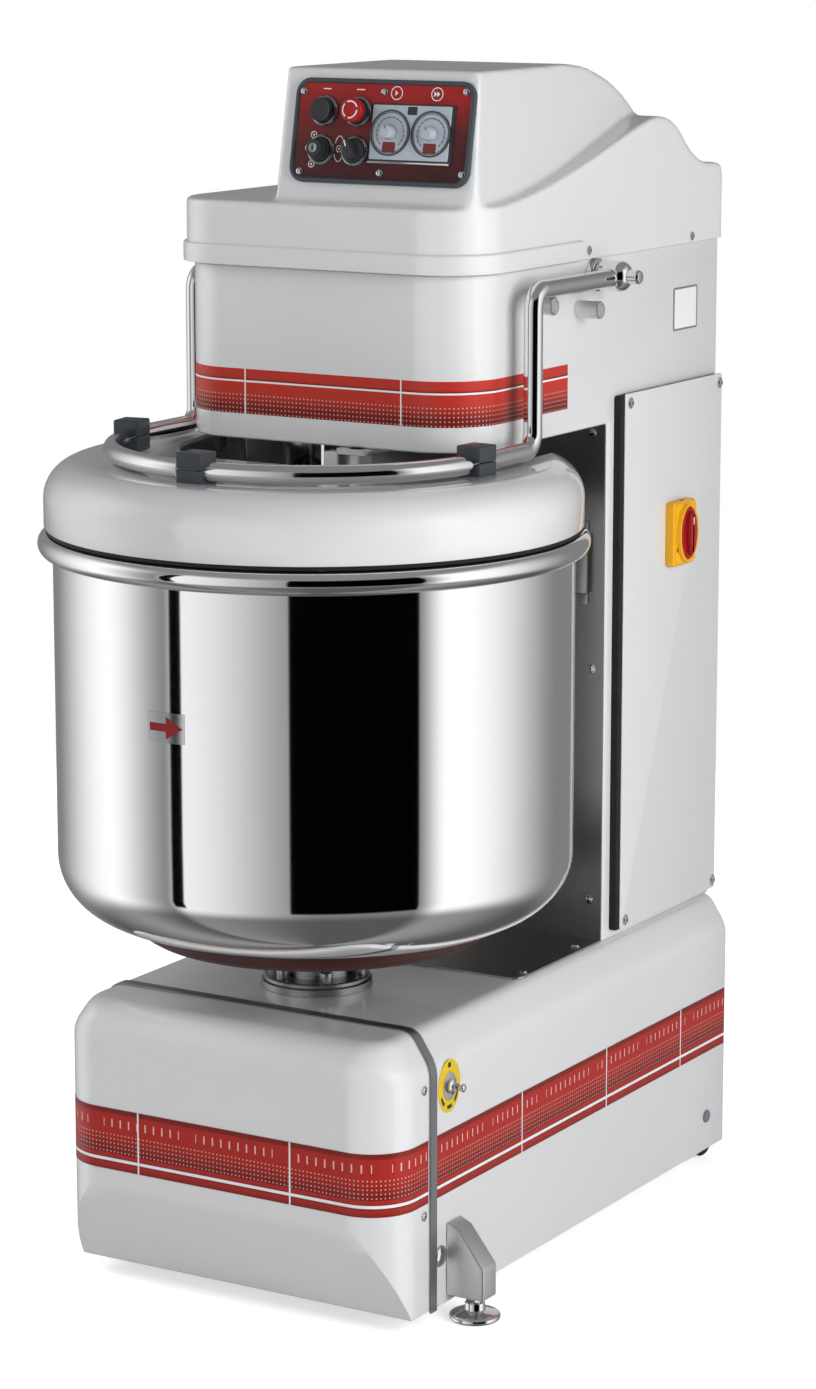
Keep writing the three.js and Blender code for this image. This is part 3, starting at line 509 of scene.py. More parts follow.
RED = plastic("red_plastic", (0.34, 0.008, 0.01), 0.3, 0.05)
YELLOW = plastic("yellow_plastic", (0.84, 0.42, 0.006), 0.32, 0.08)
LABEL_YELLOW = plastic("label_yellow", (0.72, 0.5, 0.01), 0.4, 0.05)
LABEL_WHITE = plastic("label_white", (0.78, 0.78, 0.79), 0.4, 0.05)
GREY = plastic("grey_plastic", (0.16, 0.18, 0.2), 0.4, 0.1)
DIAL_GREY = plastic("dial_grey", (0.42, 0.47, 0.53), 0.35, 0.06)
DIAL_DARK = plastic("dial_dark", (0.04, 0.045, 0.05), 0.35, 0.06)
DARK_RED = plastic("window_red", (0.16, 0.03, 0.025), 0.25, 0.03)
CLEAR_LABEL = brushed("clear_label", (0.84, 0.86, 0.9), 0.12, (30, 30, 30), 0.02, 0.02)
ARROW_RED = plastic("arrow_red", (0.24, 0.011, 0.009), 0.65, 0.03)

# ---------------------------------------------------------------- base
SEAM = (cover.y1 + base.y0) / 2
HIP_LOW = 252
HIP_IN = 167
DECK = base.z1


def hip_section(steps=6):
    """The side's edge seen from the front, as (distance in from the side, height), from low to high."""
    depth = base.x1 - HIP_IN
    line = [(0, HIP_LOW - 24), (0, HIP_LOW), (depth, DECK), (depth + 24, DECK)]
    return soften(line, 10, steps)


def brow_section(radius, steps=6):
    """The front's edge seen from the side, as (distance in from the front, height)."""
    total = 2 * (steps + 1)
    curve = arc(radius, DECK - radius, radius, 180, 90, total - 1)
    return [(0, HIP_LOW - 24)] + curve + [(radius + 14, DECK)]


CORNER = 47
TUCK_TOP = 108
TUCK_DEPTH = 41


def tuck(z):
    """How far the front cover's foot is set back at a height, along a curve that starts at TUCK_TOP."""
    low, bend, high = base.z0, 88, TUCK_TOP
    share = 0.0
    if z < high:
        # The curve is quadratic in its own parameter, found here from the height.
        a = high - 2 * bend + low
        b = 2 * (bend - high)
        share = (-b - math.sqrt(b * b - 4 * a * (high - z))) / (2 * a)
    return TUCK_DEPTH * share * share


def cover_plan(z, grow=0.0):
    """The front cover from above at a height, as (x, y, share), share being 0 at the sides and 1 in front."""
    half = cover.x1 + grow
    front = cover.y0 - grow
    limit = front + tuck(z)
    centre = front + CORNER
    turn = math.degrees(math.asin(min(1, (centre - limit) / CORNER)))
    steps = 24
    corner = arc(-half + CORNER, centre, CORNER, 180, 180 + turn, steps)
    left = [(-half, cover.y1, 0.0), (-half, centre + 12, 0.0)]
    left += [(x, y, turn * i / steps / 90) for i, (x, y) in enumerate(corner)]
    inner = -corner[-1][0]
    front_line = [(-inner * (1 - i / 5), limit, turn / 90) for i in range(1, 10)]
    return left + front_line + [(-x, y, share) for x, y, share in reversed(left)]


def cover_ring(z, side_in=0.0, brow_in=0.0, height=None):
    """One ring of the cover: moved in by one distance at the sides and another in front."""
    row = []
    height = height or (z, z)
    for x, y, share in cover_plan(z):
        ease = share * share * (3 - 2 * share)
        distance = side_in + (brow_in - side_in) * ease
        angle = share * math.pi / 2
        across = -math.copysign(math.cos(angle), x)
        y_in = min(y + math.sin(angle) * distance, cover.y1)
        row.append((x + across * distance, y_in, height[0] + (height[1] - height[0]) * ease))
    return row


def front_cover():
    """The cover as rings round its plan: a tucked foot, an upright middle, and hips shading into a brow."""
    z0 = cover.z0
    rows = [cover_ring(z0, 1.2, 1.2), cover_ring(z0 + 0.8, 0.2, 0.2)]
    rows += [cover_ring(z0 + 2 + (TUCK_TOP - z0 - 2) * i / 20) for i in range(21)]
    for (side_in, side_z), (brow_in, brow_z) in zip(hip_section(), brow_section(31)):
        rows.append(cover_ring(TUCK_TOP + 1, side_in, brow_in, (side_z, brow_z)))
    shape = Shape().grid(rows)
    return shape.cap(rows[-1])


def thicken(obj, thickness):
    modifier = obj.modifiers.new("thickness", "SOLIDIFY")
    modifier.thickness = thickness * MM
    modifier.offset = -1
    apply_modifiers(obj)


def hip_outline(grow=0.0, bottom=None):
    half = [(base.x1 - d, z) for d, z in hip_section()]
    right = [(base.x1, base.z0 if bottom is None else bottom)] + half
    left = [(-x, z) for x, z in reversed(right)]
    return inset(right + left, -grow) if grow else right + left


def base_pieces():
    obj = plain(front_cover())
    thicken(obj, 2.5)
    finished(obj, "front_cover", WHITE, replaces=["base_front_cover"])

    rows = []
    outline = hip_outline()
    rear = base.y1
    edge = 9
    for y in (base.y0, base.y0 + 60, rear - 80, rear - edge):
        rows.append([(x, y, z) for x, z in outline])
    for i in range(1, 7):
        angle = math.pi / 2 * i / 6
        inwards = edge * (1 - math.cos(angle))
        y = rear - edge + edge * math.sin(angle)
        rows.append([(x, y, z) for x, z in inset(outline, inwards)])
    shape = Shape().grid(rows, wrap=True)
    shape.cap(rows[-1])
    keep = [i for i, f in enumerate(shape.faces) if not under(shape, f)]
    shape.faces = [shape.faces[i] for i in keep]
    shape.looks = [shape.looks[i] for i in keep]
    obj = plain(shape)
    thicken(obj, 2.5)
    finished(obj, "base_shell", WHITE, replaces=["base_body"])

    seam = Span("base_seam_trim")
    trim_rows = []
    for y, grow in ((seam.y0, 0.3), (seam.y0, 1.4), (seam.y0 + 0.6, 1.9), (seam.y1 - 0.6, 1.9),
                    (seam.y1, 1.4), (seam.y1, 0.3)):
        trim_rows.append([(x, y, z) for x, z in hip_outline(grow, seam.z0)])
    shape = Shape().grid(trim_rows, close=True)
    make("seam_strip", shape, TRIM, replaces=["base_seam_trim"])


def under(shape, face):
    """Whether a face is the open underside of the base."""
    return all(shape.points[i].z < base.z0 + 0.01 for i in face)


base_pieces()

# ---------------------------------------------------------------- red bands
BAND_GAP = 0.35


def band_look(name, width, stops, dots_from, ticks=None):
    """Red tape. The flat layer's u runs along the tape in millimetres, its v from 0 at the lower edge to 1.
    stops lists the tone at shares of the width from the top. Rows of dots start dots_from millimetres down.
    ticks, if given, is the height range of a row of plain strokes, in millimetres from the top."""
    look = Look(name, (0.36, 0.028, 0.018), 0.32)
    look.shader.inputs["Specular IOR Level"].default_value = 0.3
    layer = look.node("ShaderNodeUVMap", uv_map="flat")
    split = look.node("ShaderNodeSeparateXYZ")
    look.link(layer.outputs["UV"], split.inputs["Vector"])
    along = split.outputs["X"]
    down = look.math("SUBTRACT", 1.0, split.outputs["Y"])
    ramp = look.node("ShaderNodeValToRGB")
    look.link(down, ramp.inputs["Fac"])
    marks = ramp.color_ramp.elements
    for position, _ in stops[1:-1]:
        marks.new(position)
    marks[-1].position = stops[-1][0]
    for mark, (_, colour) in zip(marks, stops):
        mark.color = (*colour, 1)
    shaded = look.mix(look.between(look.noise(6, 2), 0.0, 0.2), ramp.outputs["Color"], (0.36, 0.018, 0.012))
    down = look.math("MULTIPLY", down, width)
    pitch = 2.1
    across = look.math("PINGPONG", look.math("SUBTRACT", down, dots_from), pitch)
    beside = look.math("PINGPONG", along, pitch)
    spread = look.math("ADD", look.math("MULTIPLY", across, across), look.math("MULTIPLY", beside, beside))
    dots = look.math("MULTIPLY", look.math("LESS_THAN", spread, 0.5),
                     look.math("GREATER_THAN", down, dots_from - 1))
    dots = look.math("MULTIPLY", dots, look.math("LESS_THAN", down, dots_from + 17.5))
    marked = look.mix(look.math("MULTIPLY", dots, 0.75), shaded, (0.8, 0.5, 0.42))
    if ticks:
        stroke = look.math("LESS_THAN", look.math("PINGPONG", along, 4.8), 0.75)
        tall = look.math("MULTIPLY", look.math("GREATER_THAN", down, ticks[0]),
                         look.math("LESS_THAN", down, ticks[1]))
        group = look.math("LESS_THAN", look.math("FRACT", look.math("MULTIPLY", along, 1 / 105.6)), 0.82)
        strokes = look.math("MULTIPLY", look.math("MULTIPLY", stroke, tall), group)
        marked = look.mix(look.math("MULTIPLY", strokes, 0.8), marked, (0.78, 0.55, 0.5))
    look.link(marked, look.shader.inputs["Base Color"])
    return look.material


RED_STRIP = (0.17, 0.014, 0.011)
RED_BASE = (0.38, 0.02, 0.015)
RED_TAPE = (0.44, 0.034, 0.022)
RED_DEEP = (0.13, 0.009, 0.008)
RED_BRIGHT = (0.5, 0.03, 0.02)
BASE_TAPE_STOPS = [
    (0.0, RED_STRIP), (0.07, RED_STRIP), (0.1, RED_BASE), (0.42, RED_BASE), (0.72, RED_DEEP), (0.74, RED_BASE),
    (0.79, RED_BASE), (0.8, RED_DEEP), (0.87, RED_DEEP), (0.89, RED_BASE), (1.0, RED_STRIP),
]
HEAD_TAPE_STOPS = [(0.0, RED_BRIGHT), (0.2, RED_TAPE), (0.24, RED_DEEP), (0.31, RED_BRIGHT),
                   (0.55, RED_TAPE), (0.85, RED_DEEP), (1.0, RED_DEEP)]


def ribbon(path, z0, z1, out, shape, look, rise=None, flat=True):
    """A thin strip that follows a plan path, standing out from it. rise lifts the strip along its length."""
    lift = rise or (lambda x, y: 0.0)
    length = 0.0
    rows = []
    flats = []
    previous = None
    for i, (x, y) in enumerate(path):
        ahead = Vector(path[min(i + 1, len(path) - 1)])
        behind = Vector(path[max(i - 1, 0)])
        along = (ahead - behind).normalized()
        normal = Vector((along.y, -along.x))
        if previous is not None:
            length += (Vector((x, y)) - previous).length
        previous = Vector((x, y))
        px, py = x + normal.x * out, y + normal.y * out
        dz = lift(x, y)
        rows.append([(px, py, z0 + dz), (px, py, z1 + dz)])
        flats.append([(length, 0.0001), (length, 1.0)] if flat else [(0, 0), (0, 0)])
    return shape.grid(rows, look=look, flat=flats)


def dense(points, step):
    """The path with points added so that none are further apart than a step."""
    result = [points[0]]
    for a, b in zip(points, points[1:]):
        count = max(1, int((Vector(b) - Vector(a)).length / step))
        for i in range(1, count + 1):
            result.append(tuple(Vector(a).lerp(Vector(b), i / count)))
    return result


def slice_of(path, x, side, width):
    """The stretch of a dense path near a place, for a separator line."""
    nearest = min(range(len(path)), key=lambda i: (Vector(path[i]) - Vector((x, side))).length)
    here = Vector(path[nearest])
    along = (Vector(path[nearest + 1]) - Vector(path[nearest - 1])).normalized()
    return [tuple(here - along * width / 2), tuple(here), tuple(here + along * width / 2)]


def bands():
    radius = 47
    half = cover.x1
    z0, z1 = 122.9, 184
    line = (131.5, 134.5)
    front = [(-half, SEAM - 8)] + arc(-half + radius, cover.y0 + radius, radius, 180, 270, 16)
    front += arc(half - radius, cover.y0 + radius, radius, -90, 0, 16) + [(half, SEAM - 8)]
    front = dense(front, 12)
    tape = band_look("base_tape", z1 - z0, BASE_TAPE_STOPS, 26, (10.5, 18.5))
    shape = Shape()
    ribbon(front, z0, z1, BAND_GAP, shape, 0)
    for y0, y1, side in ((base.y1 - 8, SEAM + 7, -1), (SEAM + 7, base.y1 - 8, 1)):
        ribbon(dense([(side * base.x1, y0), (side * base.x1, y1)], 40), z0, z1, BAND_GAP, shape, 0)
    marks = [((-base.x1, y), (base.x1, y)) for y in (77.8, 243.9, 410.9)]
    side_path = {s: dense([(s * base.x1, SEAM + 7), (s * base.x1, base.y1 - 8)][::s], 10) for s in (-1, 1)}
    ribbon(front, line[0], line[1], BAND_GAP + 0.12, shape, 1, flat=False)
    for s in (-1, 1):
        ribbon(side_path[s], line[0], line[1], BAND_GAP + 0.12, shape, 1, flat=False)
        for pair in marks:
            spot = pair[0] if s < 0 else pair[1]
            ribbon(slice_of(side_path[s], spot[0], spot[1], 1.8), z0, z1, BAND_GAP + 0.2, shape, 1,
                   flat=False)
    for x in (-97.7, 77.6):
        ribbon(slice_of(front, x, cover.y0, 1.8), z0, z1, BAND_GAP + 0.2, shape, 1, flat=False)
    make("base_band", shape, [tape, LABEL_WHITE], weld=0)

    corner = 60
    half = head.x1
    rear = 195
    path = [(-half, rear)] + arc(-half + corner, head.y0 + corner, corner, 180, 270, 20)
    path += arc(half - corner, head.y0 + corner, corner, -90, 0, 20) + [(half, rear)]
    path = dense(path, 12)
    tape = band_look("head_tape", 43, HEAD_TAPE_STOPS, 25)
    shape = Shape()
    ribbon(path, 834, 877, BAND_GAP, shape, 0)
    ribbon(path, 864.4, 866.2, BAND_GAP + 0.12, shape, 1, flat=False)
    for x in (-83.3, 89.5):
        ribbon(slice_of(path, x, head.y0, 1.5), 834, 877, BAND_GAP + 0.2, shape, 1, flat=False)
    make("head_band", shape, [tape, LABEL_WHITE], weld=0)


bands()

# ---------------------------------------------------------------- column, head and doors


def column_and_head():
    plan = round_fronted(head.x1, head.y0, head.y1, 60, 24)
    body = plain(slab(plan, 809.7, head.z1))
    front = Span("inner_panel").y1 + 0.3
    column = plain(Shape().tube_of([
        [(head.x0, front, z), (head.x1, front, z), (head.x1, head.y1, z), (head.x0, head.y1, z)]
        for z in (head.z0, 815)
    ]))
    boolean(body, column, "UNION")
    bevel(body, 2.5, 3, 50)
    finished(body, "head_and_column", WHITE, replaces=["upper_frame"], weld=0.01)


def door_pieces():
    outline = rounded(door.y0, door.y1, door.z0, door.z1, 3)
    turn = Matrix(((0, 0, 1, 0), (1, 0, 0, 0), (0, 1, 0, 0), (0, 0, 0, 1)))
    panel = slab(outline, door.x0, door.x1, 1.0, 0.3, 4).moved(turn)
    make("side_door", panel, WHITE, replaces=["door"])
    gasket = Span("door_gasket")
    ring = slab(rounded(door.y0 - 9, gasket.y1, gasket.z0, gasket.z1, 3), gasket.x0, gasket.x1 + 1.2,
                0.8).moved(turn)
    make("door_seal", ring, RUBBER, replaces=["door_gasket"])


def screw(place, radius=4.2, height=2.6):
    """A domed screw head with a washer and a cross recess."""
    shape = lathe([(0, 0), (radius * 1.35, 0), (radius * 1.35, 0.6), (radius, 0.7),
                   (radius * 0.96, height * 0.55),
                   (radius * 0.75, height * 0.88), (radius * 0.4, height), (0, height)], 20)
    for turn in (0, math.pi / 2):
        bar = slab(rounded(-radius * 0.5, radius * 0.5, -radius * 0.12, radius * 0.12, radius * 0.1, 2),
                   height - 0.5, height + 0.05, look=1)
        shape.add(bar.moved(Matrix.Rotation(turn, 4, "Z")))
    return shape.moved(place)


def screws(name, places, radius=4.2, height=2.6, body="frame"):
    shape = Shape()
    for place in places:
        shape.add(screw(place, radius, height))
    make(name, shape, [CHROME, BLACK], body)


column_and_head()
door_pieces()
DOOR_SCREWS = [(door.y0 + 9.5, door.z1 - 9.5), (door.y1 - 6, door.z1 - 9.5), (door.y0 + 9.5, door.z0 + 9),
               (door.y1 - 6, door.z0 + 9)]
screws("door_screws", [facing_side(door.x1, y, z) for y, z in DOOR_SCREWS])
screws("cover_screws", [facing_side(s * 170.2, y, z) for s in (-1, 1) for y, z in ((227, 984), (445, 982))],
       3.4, 2.2)
screws("front_cover_screws", [facing_side(s * (base.x1 + 0.2), -112, z) for s in (-1, 1)
                              for z in (234, 112)], 3.6, 1.6)
panel = Span("inner_panel")
PANEL_SCREWS = [facing_front(s * 152, panel.y1 - 2, z) for s in (-1, 1) for z in (800, 564, 327)]
APRON_SCREWS = [at(x, y, panel.z0 + 2) for x, y in ((158, 128), (155, 240), (-158, 128), (-155, 240))]
screws("inner_panel_screws", PANEL_SCREWS + APRON_SCREWS, 3.4, 2.2)
lip = slab(rounded(-165, -161.8, 129, 275, 1.2, 3), 748, panel.z1 - 0.6, 0.6, 0.6, 2)
make("splash_lip", lip, PANEL_STEEL)


def oval(cx, cy, a, b, steps=48):
    return [(cx + a * math.cos(2 * math.pi * i / steps), cy + b * math.sin(2 * math.pi * i / steps))
            for i in range(steps)]


def wall_bracket():
    """A narrow channel on the inner panel, level with the bowl's rim."""
    face = panel.y1 - 2
    channel = slab(rounded(135, 150, 640, 700, 2, 3), 0, 9, 1.2)
    for z in (634, 706):
        channel.add(slab(rounded(137, 148, z - 6, z + 6, 2, 3), 0, 2.0, 0.5))
    turn = Matrix(((1, 0, 0, 0), (0, 0, -1, face), (0, 1, 0, 0), (0, 0, 0, 1)))
    make("wall_bracket", channel.moved(turn), PANEL_STEEL)


wall_bracket()


def main_switch():
    """A yellow plate with an oval collar, and in the collar a red dish with an upright grip."""
    turn = Matrix(((0, 0, 1, 0), (1, 0, 0, 0), (0, 1, 0, 0), (0, 0, 0, 1)))
    y, z = switch.y, switch.z
    face = switch.x1 - 3.5
    plate = slab(rounded(switch.y0, switch.y1, switch.z0, switch.z1, 4.5), switch.x0, face, 1.6)
    plate.add(slab(rounded(switch.y0 + 3, switch.y1 - 1, switch.z0 + 1.5, switch.z1 - 1.5, 6), face - 1,
                   face + 1.5, 1.4))
    rows = []
    for grow, x in ((0, face), (0, switch.x1 + 1.6), (0.5, switch.x1 + 2.4), (1.4, switch.x1 + 2.7),
                    (2.6, switch.x1 + 2.4), (3.2, switch.x1 + 1.6), (3.2, face)):
        rows.append([(a, b, x) for a, b in oval(y, z, 20.5 - grow, 30 - grow)])
    plate.grid(rows, wrap=True, close=True)
    for z_slot in (switch.z1 - 0.6, switch.z0 + 0.6):
        plate.add(slab(rounded(y - 4, y + 4, z_slot - 1.2, z_slot + 1.2, 1), face - 4, face - 3, look=1))
    plate.add(slab(rounded(switch.y0 + 4.5, switch.y0 + 8, z - 18, z - 13, 1), face + 1, face + 1.7, look=1))
    make("switch_plate", plate.moved(turn), [YELLOW, DARK_RED], replaces=["main_switch_plate"])
    x0 = Span("main_switch_knob").x0
    rows = []
    for grow, x in ((0, x0), (0, x0 + 2.0), (0.6, x0 + 2.6), (2.0, x0 + 2.6), (4.5, x0 + 1.0),
                    (8, x0 + 0.5), (15.5, x0 + 0.5)):
        rows.append([(a, b, x) for a, b in oval(y, z, 16.6 - grow, 26.1 - grow)])
    dish = Shape().tube_of(rows)
    grip = slab(oval(y, z, 4.6, 22.5, 32), x0 + 0.4, x0 + 6.6, 3.4, steps=6)
    mark = slab(rounded(y - 0.8, y + 0.8, z + 9, z + 17, 0.7, 3), x0 + 6.3, x0 + 6.75, look=1)
    make("switch_knob", dish.add(grip).add(mark).moved(turn), [RED, LABEL_WHITE], "main_switch",
         ["main_switch_knob"])


main_switch()

# ---------------------------------------------------------------- moulded top cover
CONSOLE_FRONT = 20
COVER_TOP = 1037
LEFT_TOP = 1036.5
LEAN = math.radians(11)
CONSOLE = (-56, 163)


def bezier(a, b, c, d, steps=12):
    return [tuple(Vector(a) * (1 - t) ** 3 + Vector(b) * 3 * t * (1 - t) ** 2
                  + Vector(c) * 3 * t * t * (1 - t)
                  + Vector(d) * t ** 3) for t in [i / steps for i in range(1, steps + 1)]]


def quadratic(a, b, c, steps=12):
    return [tuple(Vector(a) * (1 - t) ** 2 + Vector(b) * 2 * t * (1 - t) + Vector(c) * t * t)
            for t in [i / steps for i in range(1, steps + 1)]]


def cover_side(rise):
    """The cover's body seen from the right, as (y, z): flat in front, then a crest, and down to the back."""
    rear = base.y1 - 5
    front = top.y0 + 3.5
    line = [(front, top.z0 - 8), (rear, top.z0 - 8), (rear, 1040)]
    line += quadratic(line[-1], (rear, 1053), (rear - 14, 1053))
    line += bezier(line[-1], (466, 1053), (448, 1062), (427, 1081))
    line += bezier(line[-1], (408, 1100), (384, 1110), (352, 1103))
    line += rise
    line += [(front, rise[-1][1])]
    return line


def console_side():
    """The console seen from the right, as (y, z): a leaning front, a flat top and a long slope."""
    foot = COVER_TOP - 30
    slope = math.tan(LEAN)
    line = [(CONSOLE_FRONT - 30 * slope, foot), (440, foot), (440, 1052)]
    line += quadratic(line[-1], (420, 1068), (400, 1090))
    line += quadratic(line[-1], (335, 1157), (225, top.z1), 20)
    line += [(CONSOLE_FRONT + (top.z1 - COVER_TOP) * slope, top.z1)]
    return line


def drawn_across(line, x0, x1):
    """A (y, z) outline drawn out along X."""
    return Shape().tube_of([[(x, y, z) for y, z in line] for x in (x0, x1)])


def console():
    """The console's right side leans and narrows towards the back, which leaves a ledge on the cover."""
    hood = plain(drawn_across(console_side(), *CONSOLE))
    outline = rounded(CONSOLE[0], CONSOLE[1], CONSOLE_FRONT - 12, 470, 16, 8)
    boolean(hood, plain(slab(outline, COVER_TOP - 40, top.z1 + 20)), "INTERSECT")
    for vertex in hood.data.vertices:
        x, y, z = (vertex.co - ORIGIN) / MM
        share = max(0.0, (x - 60) / (CONSOLE[1] - 60))
        vertex.co.x -= share * (0.07 * (z - COVER_TOP) + 0.055 * (y - CONSOLE_FRONT)) * MM
    return hood


def moulded_cover():
    half = 170
    middle = 40
    rear = (352, 1103)
    right = bezier(rear, (290, 1090), (170, COVER_TOP + 9), (55, COVER_TOP + 1)) + [(20, COVER_TOP)]
    left = bezier(rear, (300, 1085), (262, LEFT_TOP), (200, LEFT_TOP))
    body = plain(drawn_across(cover_side(right), middle, half))
    boolean(body, plain(drawn_across(cover_side(left), -half, middle + 0.01)), "UNION")
    plan = plain(slab(round_fronted(half, top.y0 + 3.5, base.y1, 60, 24), top.z0 - 20, top.z1 + 20))
    boolean(body, console(), "UNION")
    boolean(body, plan, "INTERSECT")
    remesh = body.modifiers.new("remesh", "REMESH")
    remesh.mode = "VOXEL"
    remesh.voxel_size = 2.6 * MM
    remesh.adaptivity = 0.0
    smooth = body.modifiers.new("smooth", "SMOOTH")
    smooth.factor = 0.5
    smooth.iterations = 9
    apply_modifiers(body)
    work = bmesh.new()
    work.from_mesh(body.data)
    level = to_frame((0, 0, top.z0))
    whole = work.verts[:] + work.edges[:] + work.faces[:]
    cut = bmesh.ops.bisect_plane(work, geom=whole, plane_co=level, plane_no=(0, 0, 1), clear_inner=True)
    edges = [e for e in cut["geom_cut"] if isinstance(e, bmesh.types.BMEdge)]
    bmesh.ops.holes_fill(work, edges=edges, sides=0)
    work.to_mesh(body.data)
    work.free()
    finished(body, "moulded_cover", WHITE_COVER, replaces=["top_cover"], crease=50)
    skirt = slab(round_fronted(173.5, top.y0, 213, 63.5, 24), top.z0, top.z0 + 19, 3.0, 0.8, 5)
    make("cover_skirt", skirt, WHITE_COVER)


moulded_cover()

# ---------------------------------------------------------------- control panel
# On the panel, local x runs to the right, y up the panel and z straight out of it.
ON_PANEL = at(0, CONSOLE_FRONT, COVER_TOP) @ Matrix.Rotation(-LEAN, 4, "X") @ Matrix.Rotation(math.pi / 2,
    4, "X")
FACE = 3.5
PLATE = (-40.5, 154.5, 18, 116)


def on_panel(x, y, z=0.0):
    return ON_PANEL @ at(x, y, z)


def panel_look():
    """Red enamel shading to near black, lighter along the top."""
    look = Look("panel_enamel", (0.3, 0.01, 0.01), 0.3)
    local = look.node("ShaderNodeTexCoord")
    split = look.node("ShaderNodeSeparateXYZ")
    look.link(local.outputs["Object"], split.inputs["Vector"])
    low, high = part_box("control_plate")
    rise = look.node("ShaderNodeMapRange")
    rise.inputs["From Min"].default_value = low.z
    rise.inputs["From Max"].default_value = high.z
    look.link(split.outputs["Z"], rise.inputs["Value"])
    swirl = look.node("ShaderNodeTexNoise", Scale=16, Detail=1.5, Distortion=0.8)
    look.link(look.place((1, 1, 1.6)), swirl.inputs["Vector"])
    factor = look.math("ADD", look.math("MULTIPLY", rise.outputs["Result"], 0.75),
                       look.math("MULTIPLY", swirl.outputs["Fac"], 0.45))
    ramp = look.node("ShaderNodeValToRGB")
    look.link(factor, ramp.inputs["Fac"])
    stops = ramp.color_ramp.elements
    stops[0].position = 0.2
    stops[0].color = (0.02, 0.004, 0.005, 1)
    stops[1].position = 0.95
    stops[1].color = (0.34, 0.011, 0.008, 1)
    stop = stops.new(0.55)
    stop.color = (0.1, 0.008, 0.009, 1)
    look.link(ramp.outputs["Color"], look.shader.inputs["Base Color"])
    look.shader.inputs["Coat Weight"].default_value = 0.6
    look.shader.inputs["Coat Roughness"].default_value = 0.08
    look.bump(look.noise(500, 2), 0.04, 0.0001)
    return look.material


def panel_pieces():
    x0, x1, y0, y1 = PLATE
    outer = rounded(x0, x1, y0, y1, 15, 10)
    rows = []
    for d, z in ((0, 0.4), (0, 3.6), (0.6, 4.6), (1.4, 5.0), (3.2, 5.0), (4.0, 4.6), (4.6, 3.8), (4.6, 0.4)):
        rows.append([(x, y, z) for x, y in inset(outer, d)])
    frame_shape = Shape().grid(rows, wrap=True, close=True).moved(ON_PANEL)
    make("panel_frame", frame_shape, PANEL_TRIM, replaces=["control_frame"])
    plate = slab(rounded(x0 + 4.8, x1 - 4.8, y0 + 4.8, y1 - 4.8, 10, 10), 0.4, FACE).moved(ON_PANEL)
    make("panel_plate", plate, panel_look(), replaces=["control_plate"])
    spots = [(-31.8, 103), (56.6, 104.3), (144.4, 106.5), (-28.7, 27.8), (59.2, 29.1), (147.8, 30.4)]
    button = soften([(0, 0), (3.9, 0), (3.8, 0.9), (3.0, 2.2), (1.6, 3.0), (0, 3.2)], 0.8, 3)
    shape = Shape()
    for x, y in spots:
        shape.add(lathe(button, 28).moved(at(x, y, FACE)))
        shape.add(slab(rounded(-1.2, 1.2, -0.3, 0.3, 0.25, 2), 2.6, 3.3, look=1).moved(at(x, y, FACE)))
    make("panel_screws", shape.moved(ON_PANEL), [SCREW_CHROME, BLACK])


def bezel(name, node, x, y):
    profile = [(11.9, 0), (14.7, 0), (14.7, 1.8), (14.2, 3.0), (13.2, 3.9), (12.6, 4.2), (12.1, 4.1),
               (11.9, 3.6)]
    shape = lathe(profile, 48, closed=True).moved(on_panel(x, y, FACE))
    make(name, shape, CHROME_SATIN, replaces=[node])


CHROME_SATIN = brushed("satin_chrome", (0.42, 0.43, 0.46), 0.25, (200, 200, 200), 0.05, 0.05)
SCREW_CHROME = polished("screw_chrome", (0.72, 0.74, 0.8), 0.12)
PANEL_TRIM = plastic("panel_trim", (0.045, 0.055, 0.07), 0.4, 0.1)


def start_button(x, y):
    shape = lathe(soften([(0, 3.4), (11.6, 3.4), (11.6, 8.6), (10.4, 10.2), (9.2, 9.6), (0, 9.4)], 0.6, 3),
                  48)
    make("start_cap", shape.moved(on_panel(x, y, FACE)), BLACK, "start", ["start_button"])


def stop_button(x, y):
    neck = lathe([(0, 3), (11.4, 3), (11.4, 8.2), (0, 8.2)], 40, 1)
    cap = lathe(soften([(0, 7.6), (10.6, 7.6), (11.4, 9.0), (11.6, 14.2), (10.2, 16.4), (0, 17.2)], 1.2, 4),
                56)
    shape = neck.add(cap)
    height = 16.95
    for start in (20, 140, 260):
        rows = []
        for i in range(15):
            angle = math.radians(start + 96 * i / 14)
            rows.append([(r * math.cos(angle), r * math.sin(angle), h) for r,
                         h in ((7.0, height), (8.4, height - 0.1))])
        shape.grid(rows, look=2)
    make("stop_cap", shape.moved(on_panel(x, y, FACE)), [RED, BLACK, LABEL_WHITE], "stop", ["stop_button"])


def key_switch(x, y):
    """A stepped black barrel with a small bright key face."""
    steps = [(0, 0.6), (11.4, 0.6), (11.4, 5.2), (9.8, 6.2), (9.8, 10.0), (8.4, 11.0), (8.4, 14.6),
             (7.4, 15.6), (0, 15.6)]
    barrel = lathe(soften(steps, 0.6, 3), 48)
    face = lathe(soften([(0, 15.2), (4.6, 15.2), (4.6, 16.6), (0, 16.8)], 0.4, 3), 40, 1)
    slot = slab(rounded(-0.6, 0.6, -2.4, 2.4, 0.5, 3), 16.4, 16.95, look=2)
    cross = slab(rounded(-1.8, 1.8, -0.5, 0.5, 0.4, 3), 16.4, 16.92, look=2)
    shape = barrel.add(face).add(slot).add(cross)
    make("key_barrel", shape.moved(on_panel(x, y, FACE)), [BLACK, CHROME_SATIN, BLACK], "key",
         ["key_selector"])


